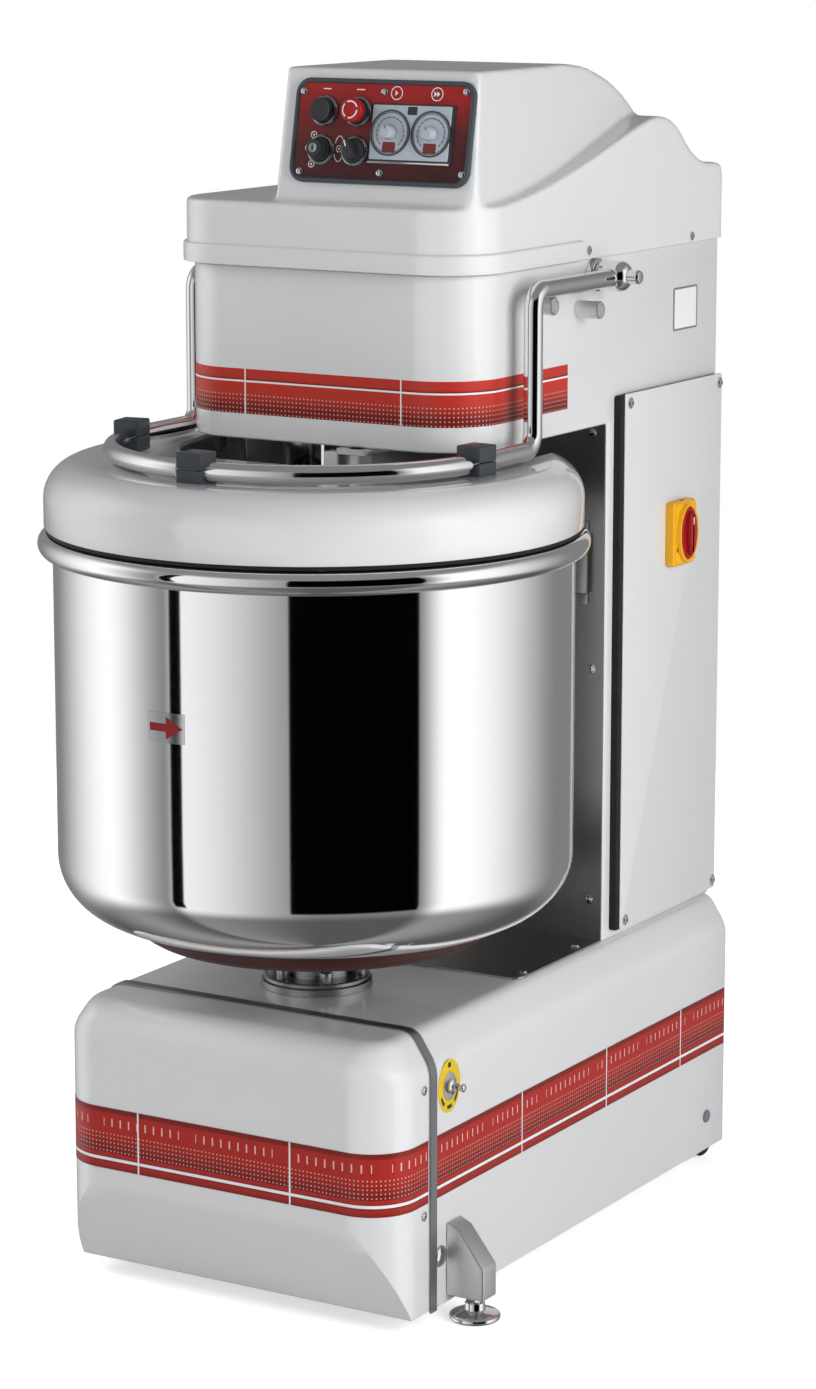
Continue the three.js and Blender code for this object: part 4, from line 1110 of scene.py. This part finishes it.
def reverse_switch(x, y):
    """A round black switch with a tapered handle and a white index line."""
    shape = lathe(soften([(0, 0.6), (11.6, 0.6), (11.6, 5.4), (10.4, 6.8), (0, 6.8)], 0.6, 3), 48)
    handle = slab(rounded(-4.6, 4.6, -10.4, 10.4, 4.4, 6), 6.0, 16.4, 1.6)
    mark = slab(rounded(-0.6, 0.6, 2.6, 9.0, 0.5, 3), 16.2, 16.6, look=1)
    turn = Matrix.Rotation(math.radians(24), 4, "Z")
    shape.add(handle.add(mark).moved(turn))
    make("reverse_handle", shape.moved(on_panel(x, y, FACE)), [BLACK, LABEL_WHITE], "reverse",
         ["reverse_selector"])


TIMER_X = (68, 112)
TIMER_Y = 66.3


def dial(x, number):
    """A timer's scale: a dark rim, a grey face, ticks round three quarters of it and a small red window."""
    face = FACE + 2.7
    shape = lathe([(20.0, 0), (21.5, 0), (21.5, 0.8), (20.6, 1.1), (20.0, 0.8)], 64, 1, True)
    shape.add(lathe([(18.6, -0.1), (19.2, -0.1), (19.2, 0.3), (18.6, 0.3)], 64, 1, True))
    for i in range(31):
        angle = math.radians(225 - 270 * i / 30)
        size = 0.75 if i % 2 == 0 else 0.5
        dot = lathe([(0, 0.35), (size, 0.35), (size, -0.1), (0, -0.1)], 10, 1)
        shape.add(dot.moved(at(14.6 * math.cos(angle), 14.6 * math.sin(angle), 0)))
    window = slab(rounded(-6.8, 6.6, -18.0, -8.6, 1.2, 3), -0.1, 0.5, look=2)
    shape.add(window)
    make(f"dial_scale_{number}", shape.moved(on_panel(x, TIMER_Y, face)), [DIAL_GREY, DIAL_DARK, DARK_RED])


def timer_pieces():
    border = slab(rounded(45.2, 135.2, 38.2, 93.8, 1.6, 3), FACE, FACE + 1.2, 0.4, look=1)
    face = slab(rounded(47.2, 131.6, 41.4, 92.2, 1.2, 3), FACE + 1, FACE + 2.7, 0.4)
    lip = slab(rounded(45.6, 134.6, 37.6, 40.0, 1.1, 3), FACE + 0.6, FACE + 3.2, 0.8, look=2)
    brace = slab(rounded(85, 95, 83.5, 91, 0.8, 3), FACE + 2.5, FACE + 3.0, look=1)
    shape = border.add(face).add(lip).add(brace)
    make("timer_window", shape.moved(ON_PANEL), [DIAL_GREY, BLACK, CHROME], replaces=["timer_plate"])
    for number, (x, side) in enumerate(zip(TIMER_X, ("slow", "fast")), 1):
        dial(x, number)
        cap = soften([(0, 0), (6.6, 0), (6.2, 8.6), (5.6, 9.8), (0, 10.1)], 0.6, 4)
        knob = lathe(cap, 40)
        knob.add(slab(rounded(-0.4, 0.4, 2.6, 5.4, 0.3, 2), 9.7, 10.2, look=1))
        make(f"timer_cap_{side}", knob.moved(on_panel(x, TIMER_Y, FACE + 3.1)), [DIAL_GREY, DIAL_DARK],
             f"timer_{side}", [f"timer_knob_{side}"])


def pictograms():
    """Plain marks in place of the panel's lettering: triangles by the timers, arcs and dots elsewhere."""
    shape = Shape()
    level = FACE + 0.05
    for x, count in ((69.7, 1), (113.2, 2)):
        shape.add(lathe([(5.6, level), (6.4, level), (6.4, level + 0.2), (5.6, level + 0.2)], 40,
                        closed=True).moved(at(x, 103.6, 0)))
        for i in range(count):
            left = x - 1.6 * count + 3.2 * i
            shape.cap([(left, 101.0, level + 0.15), (left + 3.2, 103.6, level + 0.15),
                       (left, 106.2, level + 0.15)])
    for x, y in ((-21.6, 50), (12.6, 50), (-16.5, 62.5), (-16.5, 35)):
        shape.add(lathe([(2.6, level), (3.3, level), (3.3, level + 0.2), (2.6, level + 0.2)], 32,
                        closed=True).moved(at(x, y, 0)))
        shape.add(lathe([(0, level + 0.2), (1.0, level + 0.2), (1.0, level), (0, level)],
                        16).moved(at(x, y, 0)))
    for start in (25, 205):
        path = [(12.6 + 8.2 * math.cos(t) * 0.62, 50 + 12 * math.sin(t), level + 0.3)
                for t in [math.radians(start + 130 * i / 14) for i in range(15)]]
        shape.add(sweep(path, 0.4, 6))
    for x in (-6.5, 30.5):
        shape.add(slab(rounded(x - 4.5, x + 4.5, 105.4, 106.4, 0.4, 2), level, level + 0.2))
    make("panel_marks", shape.moved(ON_PANEL), LABEL_WHITE)


def control_panel():
    panel_pieces()
    columns = (-6.5, 30.5)
    rows = (48.5, 85)
    bezel("bezel_start", "start_bezel", columns[0], rows[1])
    bezel("bezel_stop", "stop_bezel", columns[1], rows[1])
    bezel("bezel_key", "key_bezel", columns[0], rows[0])
    bezel("bezel_reverse", "reverse_bezel", columns[1], rows[0])
    start_button(columns[0], rows[1])
    stop_button(columns[1], rows[1])
    key_switch(columns[0], rows[0])
    reverse_switch(columns[1], rows[0])
    timer_pieces()
    pictograms()


control_panel()

# ---------------------------------------------------------------- bowl and its bearing


bowl_wall = 248


def bowl_pieces():
    outer, wall, bottom, corner = bowl_wall, 2.4, bowl.z0, 60
    rim_z, rim_in, rim_r = 720.6, 250.9, 11.3
    inner = outer - wall
    flat = outer - corner
    profile = [(0, bottom), (flat * 0.5, bottom)] + arc(flat, bottom + corner, corner, -90, 0, 24)
    under_bead = -90 - math.degrees(math.asin((rim_in - outer) / rim_r))
    bead = arc(rim_in, rim_z, rim_r, under_bead, 128, 32)
    profile += [(outer, 480), (outer, 600), (outer, bead[0][1] - 4), (outer, bead[0][1] - 0.4)] + bead
    profile += [(inner, rim_z + 2), (inner, 600), (inner, 480)]
    profile += arc(flat, bottom + corner, corner - wall, 0, -90, 20)
    profile += [(flat * 0.5, bottom + wall), (0, bottom + wall)]
    make("mixing_bowl", lathe(profile, 160), BOWL_STEEL, "bowl", ["bowl"], crease=40)

    plate = Span("bowl_plate")
    disc = [(0, plate.z0), (plate.x1 - 8, plate.z0), (plate.x1, plate.z0 + 5), (plate.x1, plate.z1 - 2),
            (plate.x1 - 2, plate.z1), (0, plate.z1)]
    make("bowl_plate_disc", lathe(soften(disc, 1.5, 3), 120), MAROON, "bowl", ["bowl_plate"])

    hub = Span("bowl_hub")
    shaft = [(0, hub.z0), (14, hub.z0), (14, 130), (18, 130), (18, 180), (28, 182), (28, hub.z1 - 15),
             (60, hub.z1 - 11), (62, hub.z1 - 9), (62, hub.z1), (0, hub.z1)]
    make("hub_shaft", lathe(shaft, 64), MACHINED, "bowl", ["bowl_hub"])

    bearing = Span("bowl_bearing")
    z = DECK + 0.3
    ring = [(28.4, bearing.z0), (42, bearing.z0), (42, z), (54, z), (54, z + 6.4), (52.8, z + 7.4),
            (51.4, z + 7.6),
            (51.4, z + 10.6), (50.2, z + 11.8), (35.6, z + 12.2), (35.6, z + 24.4), (34, z + 26),
            (28.4, z + 26)]
    shape = lathe(ring, 96, closed=True)
    for i in range(6):
        angle = math.radians(60 * i + 14)
        head_profile = soften([(0, 0), (6.4, 0), (6.4, 9.6), (5.6, 10.6), (3.2, 10.6), (3.2, 6.5),
                               (0, 6.5)], 0.5, 2)
        bolt = lathe(head_profile, 24, 1).moved(at(43.5 * math.cos(angle), 43.5 * math.sin(angle), z + 11.8))
        shape.add(bolt)
    make("bearing_flange", shape, [MACHINED, MACHINED], replaces=["bowl_bearing"])


def direction_arrow():
    """A red arrow on a clear label that shows which way the bowl turns, with no lettering."""
    radius = bowl_wall + 0.25
    middle = math.radians(-90.7)
    height = 581.5

    def patch(outline, out):
        rows = []
        for s, half in outline:
            angle = middle + s / radius
            x, y = (radius + out) * math.cos(angle), (radius + out) * math.sin(angle)
            rows.append([(x, y, height - half), (x, y, height + half)])
        return Shape().grid(rows)

    shaft = [(-18 + 2 * i, 3.7) for i in range(10)]
    tip = [(0, 10.5), (4, 8.2), (8, 5.9), (12, 3.5), (15, 1.8), (18, 0.05)]
    make("turn_arrow", patch(shaft + tip, 0.15), ARROW_RED, "bowl", weld=0)
    make("turn_label", patch([(-20 + 4 * i, 14) for i in range(11)], 0.0), CLEAR_LABEL, "bowl",
         weld=0)


bowl_pieces()
direction_arrow()

# ---------------------------------------------------------------- spiral tool and breaker bar


def spiral_pieces():
    tool = Span("spiral_tool")
    x, y = -75, 105
    shaft = [(0, 676), (13, 676), (20, 686), (20, 760), (22.5, 764), (22.5, 812), (16, 816), (16, 880),
             (12, 882), (12, 930), (0, 930)]
    shape = lathe(soften(shaft, 1.5, 3), 48).moved(at(x, y, 0))
    path = []
    count = 130
    for i in range(count + 1):
        t = i / count
        angle = 2 * math.pi * 1.6 * t
        swell = min(1, t / 0.12)
        swell = swell * swell * (3 - 2 * swell)
        radius = 87 * swell * (1 - 0.22 * max(0, (t - 0.75) / 0.25))
        path.append((x + radius * math.cos(angle), y + radius * math.sin(angle), 688
                     - (688 - tool.z0 - 13) * t ** 0.92))
    shape.add(sweep(path, lambda t: 11.9 * min(1, 0.35 + (1 - t) * 18) ** 0.5, 20))
    make("spiral_hook", shape, CHROME, "spiral", ["spiral_tool"])

    bar = Span("breaker_bar")
    post = slab(rounded(37.5, 52.5, -2, 22, 5, 6), bar.z0, bar.z1, 0.5, 4, 5)
    post.add(slab(rounded(bar.x0, bar.x1, bar.y0, bar.y1, 6, 5), bar.z1 - 5, bar.z1, 0, 1.0))
    post.add(slab(rounded(14, 30, -6, 12, 2, 4), 770, 806, 1.5, 1.5))
    make("dough_breaker", post, BRACKET_STEEL, replaces=["breaker_bar"])


spiral_pieces()

# ---------------------------------------------------------------- guard
RING = 190
RING_Z = 809
LEG_Y = 83
PIVOT = (245, 959)


def guard_lid():
    bottom = lid.z0 + 1.2
    outer = lid.x1
    dish = [(0, 790.5), (140, 790.5), (158, 791.5), (176, 795), (196, 799), (212, 797.8)]
    crown = arc(220, 763, 36, 78, 0, 14)
    side = [(outer, bottom + 1.2), (outer - 0.6, bottom + 0.2), (outer - 2, bottom)]
    inside = [(outer - 3.4, bottom), (outer - 4, bottom + 1.5)] + arc(220, 763, 32, 0, 78, 12)
    inside += [(212, 793.8), (196, 795), (176, 791), (158, 787.5), (140, 786.5), (0, 786.5)]
    body = plain(lathe(dish + crown + side + inside, 128))
    throat = slab([(x, y) for x, y in round_fronted(177, -8, 300, 60, 16)], bottom - 20, 830)
    boolean(body, plain(throat), "DIFFERENCE")
    finished(body, "lid_shell", WHITE_LID, "guard", ["guard_lid"], 40, 0.01)
    # Painted shade: this black ring below the lid's edge stands in for the shadow and dark reflection in the
    # gap between the lid and the bowl's rim.
    seal = lathe([(250, bottom - 4.2), (254.6, bottom - 3.6), (255.4, bottom), (254.5, bottom + 4),
                  (250, bottom + 4)], 128, closed=True)
    band = plain(seal)
    boolean(band, plain(slab([(x, y) for x, y in round_fronted(177, -8, 300, 60, 16)], bottom - 20, 830)),
            "DIFFERENCE")
    finished(band, "lid_shadow_ring", RUBBER, "guard")


def guard_rail():
    high = PIVOT[1] - 1
    ends = [(RING, PIVOT[0], high), (RING, LEG_Y, high), (RING, LEG_Y, RING_Z), (RING, 2, RING_Z)]
    right = bent(ends, 17, 10)[:-1]
    half_ring = [(RING * math.cos(t), RING * math.sin(t), RING_Z)
                 for t in [-math.pi * i / 72 for i in range(73)]]
    left = [Vector((-p.x, p.y, p.z)) for p in reversed(right)]
    shape = sweep(right + [Vector(p) for p in half_ring] + left, 9, 28)
    for sign in (-1, 1):
        barrel = [(7.5, 176), (13.8, 176), (15, 177.2)]
        dome = [(15 * math.cos(t), 195 + 11.6 * math.sin(t))
                for t in [math.radians(6 * i) for i in range(11)]]
        boss = lathe(barrel + dome, 48, closed=True)
        shape.add(boss.moved(at(0, *PIVOT) @ Matrix.Rotation(sign * math.pi / 2, 4, "Y")))
    collar_angle = math.radians(-97)
    path = [(RING * math.cos(t), RING * math.sin(t), RING_Z)
            for t in (collar_angle - 0.004, collar_angle, collar_angle + 0.004)]
    shape.add(sweep(path, 9.6, 28, look=1))
    make("guard_rail", shape, [CHROME, LABEL_WHITE], "guard", ["guard_tube"])


def clamp(node, angle):
    """Two black blocks bolted together round the tube."""
    turn = Matrix.Rotation(math.radians(angle), 4, "Z")
    outline = rounded(RING - 14, RING + 13, -14, 14, 2.5, 4)
    shape = slab(outline, 796.5, 810.4, 0.8, 0.8)
    shape.add(slab(outline, 811.2, 826.0, 1.6, 0.8))
    for y in (-8.5, 8.5):
        shape.add(lathe([(0, 826.2), (2.6, 826.2), (2.6, 825), (0, 825)], 16, 1).moved(at(RING, y, 0)))
    make(f"block_{node.split('_')[1]}", shape.moved(turn), [GRAPHITE, BLACK], "guard", [node])


def pivots():
    for side, sign in (("left", -1), ("right", 1)):
        profile = [(0, 165.6), (16, 165.6), (16, 171.5), (14.6, 172.8), (12, 173), (12, 174.8), (7, 175),
                   (7, 215),
                   (5.6, 217.3), (0, 217.5)]
        pin = lathe(soften(profile, 0.6, 3), 40).moved(at(0, *PIVOT) @ Matrix.Rotation(sign * math.pi / 2,
            4, "Y"))
        make(f"pivot_{side}", pin, CHROME, replaces=[f"pivot_pin_{side}"])
        for kind in ("rest", "open"):
            stop = Span(f"{kind}_stop_{side}")
            x0, x1 = sorted((abs(stop.x0), abs(stop.x1)))
            profile = soften([(0, x0), (8.5, x0), (8.5, x1 - 1.2), (7.3, x1), (5.4, x1), (5.0, x1 - 0.8),
                              (0, x1 - 0.8)], 0.5, 3)
            place = at(0, stop.y, stop.z) @ Matrix.Rotation(sign * math.pi / 2, 4, "Y")
            make(f"{kind}_buffer_{side}", lathe(profile, 36).moved(place), BRACKET_STEEL,
                 replaces=[f"{kind}_stop_{side}"])


def plunger():
    """The guard switch's plunger: a black rod with a foot, inside a coil spring."""
    node = Span("lid_switch_plunger")
    x, y = node.x, node.y
    rod = lathe(soften([(0, node.z0), (4.5, node.z0), (5.2, node.z0 + 2), (3.2, node.z0 + 4),
                        (3.2, node.z1), (0, node.z1)], 0.5, 3), 32)
    path = []
    for i in range(121):
        angle = 2 * math.pi * 4.5 * i / 120
        path.append((5.4 * math.cos(angle), 5.4 * math.sin(angle), node.z0 + 2.5
                     + (809 - node.z0 - 3.2) * i / 120))
    rod.add(sweep(path, 0.9, 8))
    make("guard_plunger", rod.moved(at(x, y, 0)), BLACK, "lid_switch", ["lid_switch_plunger"])


guard_lid()
guard_rail()
for clamp_node, clamp_angle in (("clamp_left", -170), ("clamp_front", -92), ("clamp_right", -6)):
    clamp(clamp_node, clamp_angle)
pivots()
plunger()

# ---------------------------------------------------------------- feet, wheels and fittings


def feet():
    for side, sign in (("left", -1), ("right", 1)):
        foot = Span(f"levelling_foot_{side}")
        profile = [(0, 0), (22.6, 0), (24.3, 1.6), (24.3, 4.6), (22.8, 6), (13, 8.6), (9.5, 9.4),
                   (9.5, 16.8), (6, 17), (6, foot.z1), (0, foot.z1)]
        shape = lathe(soften(profile, 0.8, 3), 56)
        nut = [(9.6 * math.cos(math.radians(60 * i)), 9.6 * math.sin(math.radians(60 * i))) for i in range(6)]
        shape.add(slab(nut, 18.5, 21.6, 0.5))
        make(f"foot_{side}_disc", shape.moved(at(foot.x, foot.y, 0)), CHROME, f"foot_{side}",
             [f"levelling_foot_{side}"])
        bracket = Span(f"foot_bracket_{side}")
        x0, x1 = sorted((abs(bracket.x0), abs(bracket.x1)))
        outline = [(x0, 22.2), (x1, 22.2), (x1, 54), (201, 89), (x0, 95)]
        obj = plain(Shape().tube_of([[(sign * x, y, z) for x, z in outline]
                                     for y in (bracket.y0, bracket.y1)]))
        bevel(obj, 2.0, 4, 30)
        finished(obj, f"bracket_{side}", BRACKET_STEEL, replaces=[f"foot_bracket_{side}"])
        bolt = lathe(soften([(0, 0), (10.5, 0), (10.5, 0.8), (8.6, 2.6), (5, 3.8), (0, 4.2)], 0.8, 3), 40)
        make(f"bracket_bolt_{side}", bolt.moved(facing_side(sign * (base.x1 + 0.2), -82.5, 64.6)), CHROME)
        plug = lathe(soften([(0, 0), (7, 0), (6.4, 1.8), (0, 2.2)], 0.6, 3), 32)
        make(f"side_plug_{side}", plug.moved(facing_side(sign * (base.x1 + 0.2), 472, 52)), GREY)
        wheel = Span(f"castor_wheel_{side}")
        tread = [(4.4, -8.5), (12, -8.5), (15.5, -8.2), (18, -5.5), (18, 5.5), (15.5, 8.2), (12, 8.5),
                 (4.4, 8.5)]
        roller = lathe(soften(tread, 0.8, 3), 40, closed=True)
        make(f"wheel_{side}_tyre", roller.moved(at(wheel.x, wheel.y, wheel.z) @ Matrix.Rotation(math.pi / 2,
            4, "Y")),
             RUBBER, f"wheel_{side}", [f"castor_wheel_{side}"])


def grease_point():
    place = facing_side(base.x1, Span("grease_nipple").y, 227)
    label = slab(oval(0, 0, 20.3, 25.8, 64), 0.1, 0.5, 0.1)
    label.add(slab(oval(0, 0, 11.5, 14, 48), 0.4, 1.4, 0.3, look=1))
    label.add(lathe([(0, 0.7), (2.8, 0.7), (2.8, 0.4), (0, 0.4)], 20, 2).moved(at(0, 20.5, 0)))
    for start in (205, 255, 305):
        rows = []
        for i in range(7):
            t = math.radians(start + 30 * i / 6)
            rows.append([(r * math.cos(t), r * 1.27 * math.sin(t), 0.7) for r in (14.6, 17.4)])
        label.grid(rows, look=2)
    make("grease_label", label.moved(place), [LABEL_YELLOW, BRACKET_STEEL, BLACK])
    nipple = [(0, 1), (7.5, 1), (7.5, 5), (5, 6), (4, 7), (4, 10), (2.8, 11), (2.8, 13.5), (4, 14.5),
              (4, 16.5), (2.4, 17.5), (0, 17.7)]
    make("grease_fitting", lathe(soften(nipple, 0.4, 2), 32).moved(place), CHROME,
         replaces=["grease_nipple"])


def gland():
    node = Span("cable_gland")
    profile = [(0, 0), (14, 0), (14, 5), (12.6, 6.4), (11, 6.6), (11, 14), (9.6, 15.4), (6.4, 18),
               (4.4, 18), (4.4, 9), (0, 9)]
    make("inlet_gland", lathe(soften(profile, 0.6, 3), 32).moved(facing_side(node.x1, node.y, node.z)),
         BLACK, replaces=["cable_gland"])


def sticker():
    shape = slab(rounded(415.5, 468, 888, 931.5, 2, 4), 0, 0.3, look=0)
    shape.add(slab(rounded(418, 465.5, 890, 929.5, 1, 4), 0.2, 0.36, look=1))
    turn = Matrix(((0, 0, 1, head.x1 + 0.05), (1, 0, 0, 0), (0, 1, 0, 0), (0, 0, 0, 1)))
    make("blank_label", shape.moved(turn), [GREY, LABEL_WHITE])


feet()
grease_point()
gland()
sticker()

# ---------------------------------------------------------------- CAD nodes that keep their own shape
KEPT = {
    "base_floor": BRACKET_STEEL,
    "castor_frame": BRACKET_STEEL,
    "inner_panel": PANEL_STEEL,
    "rear_panel": WHITE,
    "bowl_pulley": IRON,
    "bowl_motor_pulley": IRON,
    "bowl_belt": RUBBER,
    "bowl_motor": MOTOR,
    "spiral_pulley": IRON,
    "spiral_motor_pulley": IRON,
    "spiral_belt": RUBBER,
    "spiral_motor": MOTOR,
}
for node, look in KEPT.items():
    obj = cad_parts[node]
    obj.data.materials.clear()
    obj.data.materials.append(look)

# ---------------------------------------------------------------- studio


# Angles in the reflected room are in degrees, 0 towards the camera and positive towards the right.
# CAMERA_SIDE turns the frame's own angle into that one.
CAMERA_SIDE = 57.65
# The even light that reflections see between the panels.
ROOM_GLOW = 0.28
# Soft panels on the left, in front and on the right: left edge, right edge, their softnesses, strength.
PANELS = [(-130, -85, 30, 20, 1.1), (-65, -30, 5, 35, 0.9), (52, 100, 8, 35, 1.1)]
# Dark screens between the panels: left edge, right edge, softness.
SCREENS = [(-11.4, 45.8, 0.6), (-66.2, -60.4, 0.5)]


def studio_world():
    """White to the eye and even for soft light. Reflections see bright panels with dark screens between."""
    world = bpy.data.worlds.new("studio")
    bpy.context.scene.world = world
    world.use_nodes = True
    tree = world.node_tree
    nodes = tree.nodes
    links = tree.links
    nodes.clear()

    def node(kind, **settings):
        made = nodes.new(kind)
        for key, value in settings.items():
            setattr(made, key, value)
        return made

    def value(operation, a, b=0.0, c=0.0):
        made = node("ShaderNodeMath", operation=operation)
        for socket, given in zip(made.inputs, (a, b, c)):
            if isinstance(given, (int, float)):
                socket.default_value = given
            else:
                links.new(given, socket)
        return made.outputs[0]

    def step(source, low, high):
        """0 below one value and 1 above another, easing in between."""
        made = node("ShaderNodeMapRange", interpolation_type="SMOOTHSTEP")
        links.new(source, made.inputs["Value"])
        made.inputs["From Min"].default_value = low
        made.inputs["From Max"].default_value = high
        return made.outputs["Result"]

    def across(angle, left, right, left_soft, right_soft):
        """1 between two angles in degrees, with a soft edge of its own on each side."""
        rise = step(angle, left - left_soft, left + left_soft)
        fall = step(angle, right - right_soft, right + right_soft)
        return value("MULTIPLY", rise, value("SUBTRACT", 1.0, fall))

    direction = node("ShaderNodeTexCoord")
    split = node("ShaderNodeSeparateXYZ")
    links.new(direction.outputs["Generated"], split.inputs["Vector"])
    around = value("ARCTAN2", split.outputs["Y"], split.outputs["X"])
    angle = value("ADD", value("MULTIPLY", around, 180 / math.pi), CAMERA_SIDE)
    angle = value("SUBTRACT", value("FLOORED_MODULO", value("ADD", angle, 180.0), 360.0), 180.0)
    light = ROOM_GLOW
    for left, right, left_soft, right_soft, strength in PANELS:
        panel_light = value("MULTIPLY", across(angle, left, right, left_soft, right_soft), strength)
        light = value("ADD", panel_light, light)
    dark = 0.0
    for left, right, soft in SCREENS:
        dark = value("ADD", across(angle, left, right, soft, soft), dark)
    height = split.outputs["Z"]

    upright = value("MULTIPLY", step(height, -0.42, -0.36), value("SUBTRACT", 1.0, step(height, 0.5, 0.62)))
    card = value("MULTIPLY", value("MINIMUM", dark, 1.0), upright)
    light = value("MULTIPLY", light, value("SUBTRACT", 1.0, value("MULTIPLY", card, 0.998)))
    # The floor and the ceiling are even greys.
    below = value("SUBTRACT", 1.0, step(height, -0.62, -0.38))
    above = step(height, 0.45, 0.75)
    floor_light = value("ADD", value("MULTIPLY", light, 0.22), 0.06)
    light = value("ADD", value("MULTIPLY", light, value("SUBTRACT", 1.0, below)),
                  value("MULTIPLY", below, floor_light))
    light = value("ADD", value("MULTIPLY", light, value("SUBTRACT", 1.0, above)),
                  value("MULTIPLY", above, 0.3))

    rays = node("ShaderNodeLightPath")
    plain_light = node("ShaderNodeBackground")
    plain_light.inputs["Color"].default_value = (1, 1, 1, 1)
    soft = node("ShaderNodeMapRange")
    links.new(split.outputs["Z"], soft.inputs["Value"])
    soft.inputs["From Max"].default_value = 0.85
    soft.inputs["To Min"].default_value = 0.36
    soft.inputs["To Max"].default_value = 0.05
    links.new(soft.outputs["Result"], plain_light.inputs["Strength"])
    seen = node("ShaderNodeBackground")
    seen.inputs["Color"].default_value = (1, 1, 1, 1)
    seen.inputs["Strength"].default_value = 1.0
    mirrored = node("ShaderNodeBackground")
    links.new(light, mirrored.inputs["Strength"])
    first = node("ShaderNodeMixShader")
    links.new(rays.outputs["Is Glossy Ray"], first.inputs["Fac"])
    links.new(plain_light.outputs[0], first.inputs[1])
    links.new(mirrored.outputs[0], first.inputs[2])
    second = node("ShaderNodeMixShader")
    links.new(rays.outputs["Is Camera Ray"], second.inputs["Fac"])
    links.new(first.outputs[0], second.inputs[1])
    links.new(seen.outputs[0], second.inputs[2])
    output = node("ShaderNodeOutputWorld")
    links.new(second.outputs[0], output.inputs["Surface"])


def softbox(name, place, target, size, power):
    data = bpy.data.lights.new(name, "AREA")
    data.shape = "RECTANGLE"
    data.size, data.size_y = size
    data.energy = power
    obj = bpy.data.objects.new(name, data)
    bpy.context.scene.collection.objects.link(obj)
    obj.location = place
    obj.rotation_euler = (Vector(target) - Vector(place)).to_track_quat("-Z", "Y").to_euler()
    obj.visible_glossy = False
    return obj


def studio():
    studio_world()
    floor = lathe([(0, -0.6), (2300, -0.6)], 96)
    mesh = bpy.data.meshes.new("floor")
    mesh.from_pydata([to_frame(p) for p in floor.points], [], floor.faces)
    obj = bpy.data.objects.new("floor", mesh)
    bpy.context.scene.collection.objects.link(obj)
    tidy(obj)
    look = Look("pale_floor", (0.93, 0.93, 0.93), 0.8)
    look.shader.inputs["Emission Color"].default_value = (1, 1, 1, 1)
    rays = look.node("ShaderNodeLightPath")
    look.link(look.math("MULTIPLY", rays.outputs["Is Camera Ray"], 0.6),
              look.shader.inputs["Emission Strength"])
    look.rough(look.noise(4, 2), 0.75, 0.85)
    mesh.materials.clear()
    mesh.materials.append(look.material)
    obj.visible_glossy = False
    middle = (0, 0, 0.55)
    softbox("key", (2.7, -0.7, 1.3), middle, (1.8, 1.8), 70)
    softbox("left", (-2.6, -0.7, 1.9), middle, (1.6, 1.8), 48)
    softbox("fill", (-0.5, -3.2, 1.0), middle, (2.0, 1.6), 18)
    softbox("rear", (-1.2, 2.8, 1.2), middle, (2.0, 2.0), 18)


def camera():
    data = bpy.data.cameras.new("camera")
    data.sensor_fit = "AUTO"
    data.sensor_width = 36
    data.lens = 102.82
    data.clip_end = 50
    obj = bpy.data.objects.new("camera", data)
    bpy.context.scene.collection.objects.link(obj)
    obj.location = to_frame((1991.4, -3143.5, 1322.4))
    obj.rotation_euler = (math.radians(90 - 11.44), 0, math.radians(30.99))
    bpy.context.scene.camera = obj


studio()
camera()
bpy.context.scene.view_settings.view_transform = "Standard"
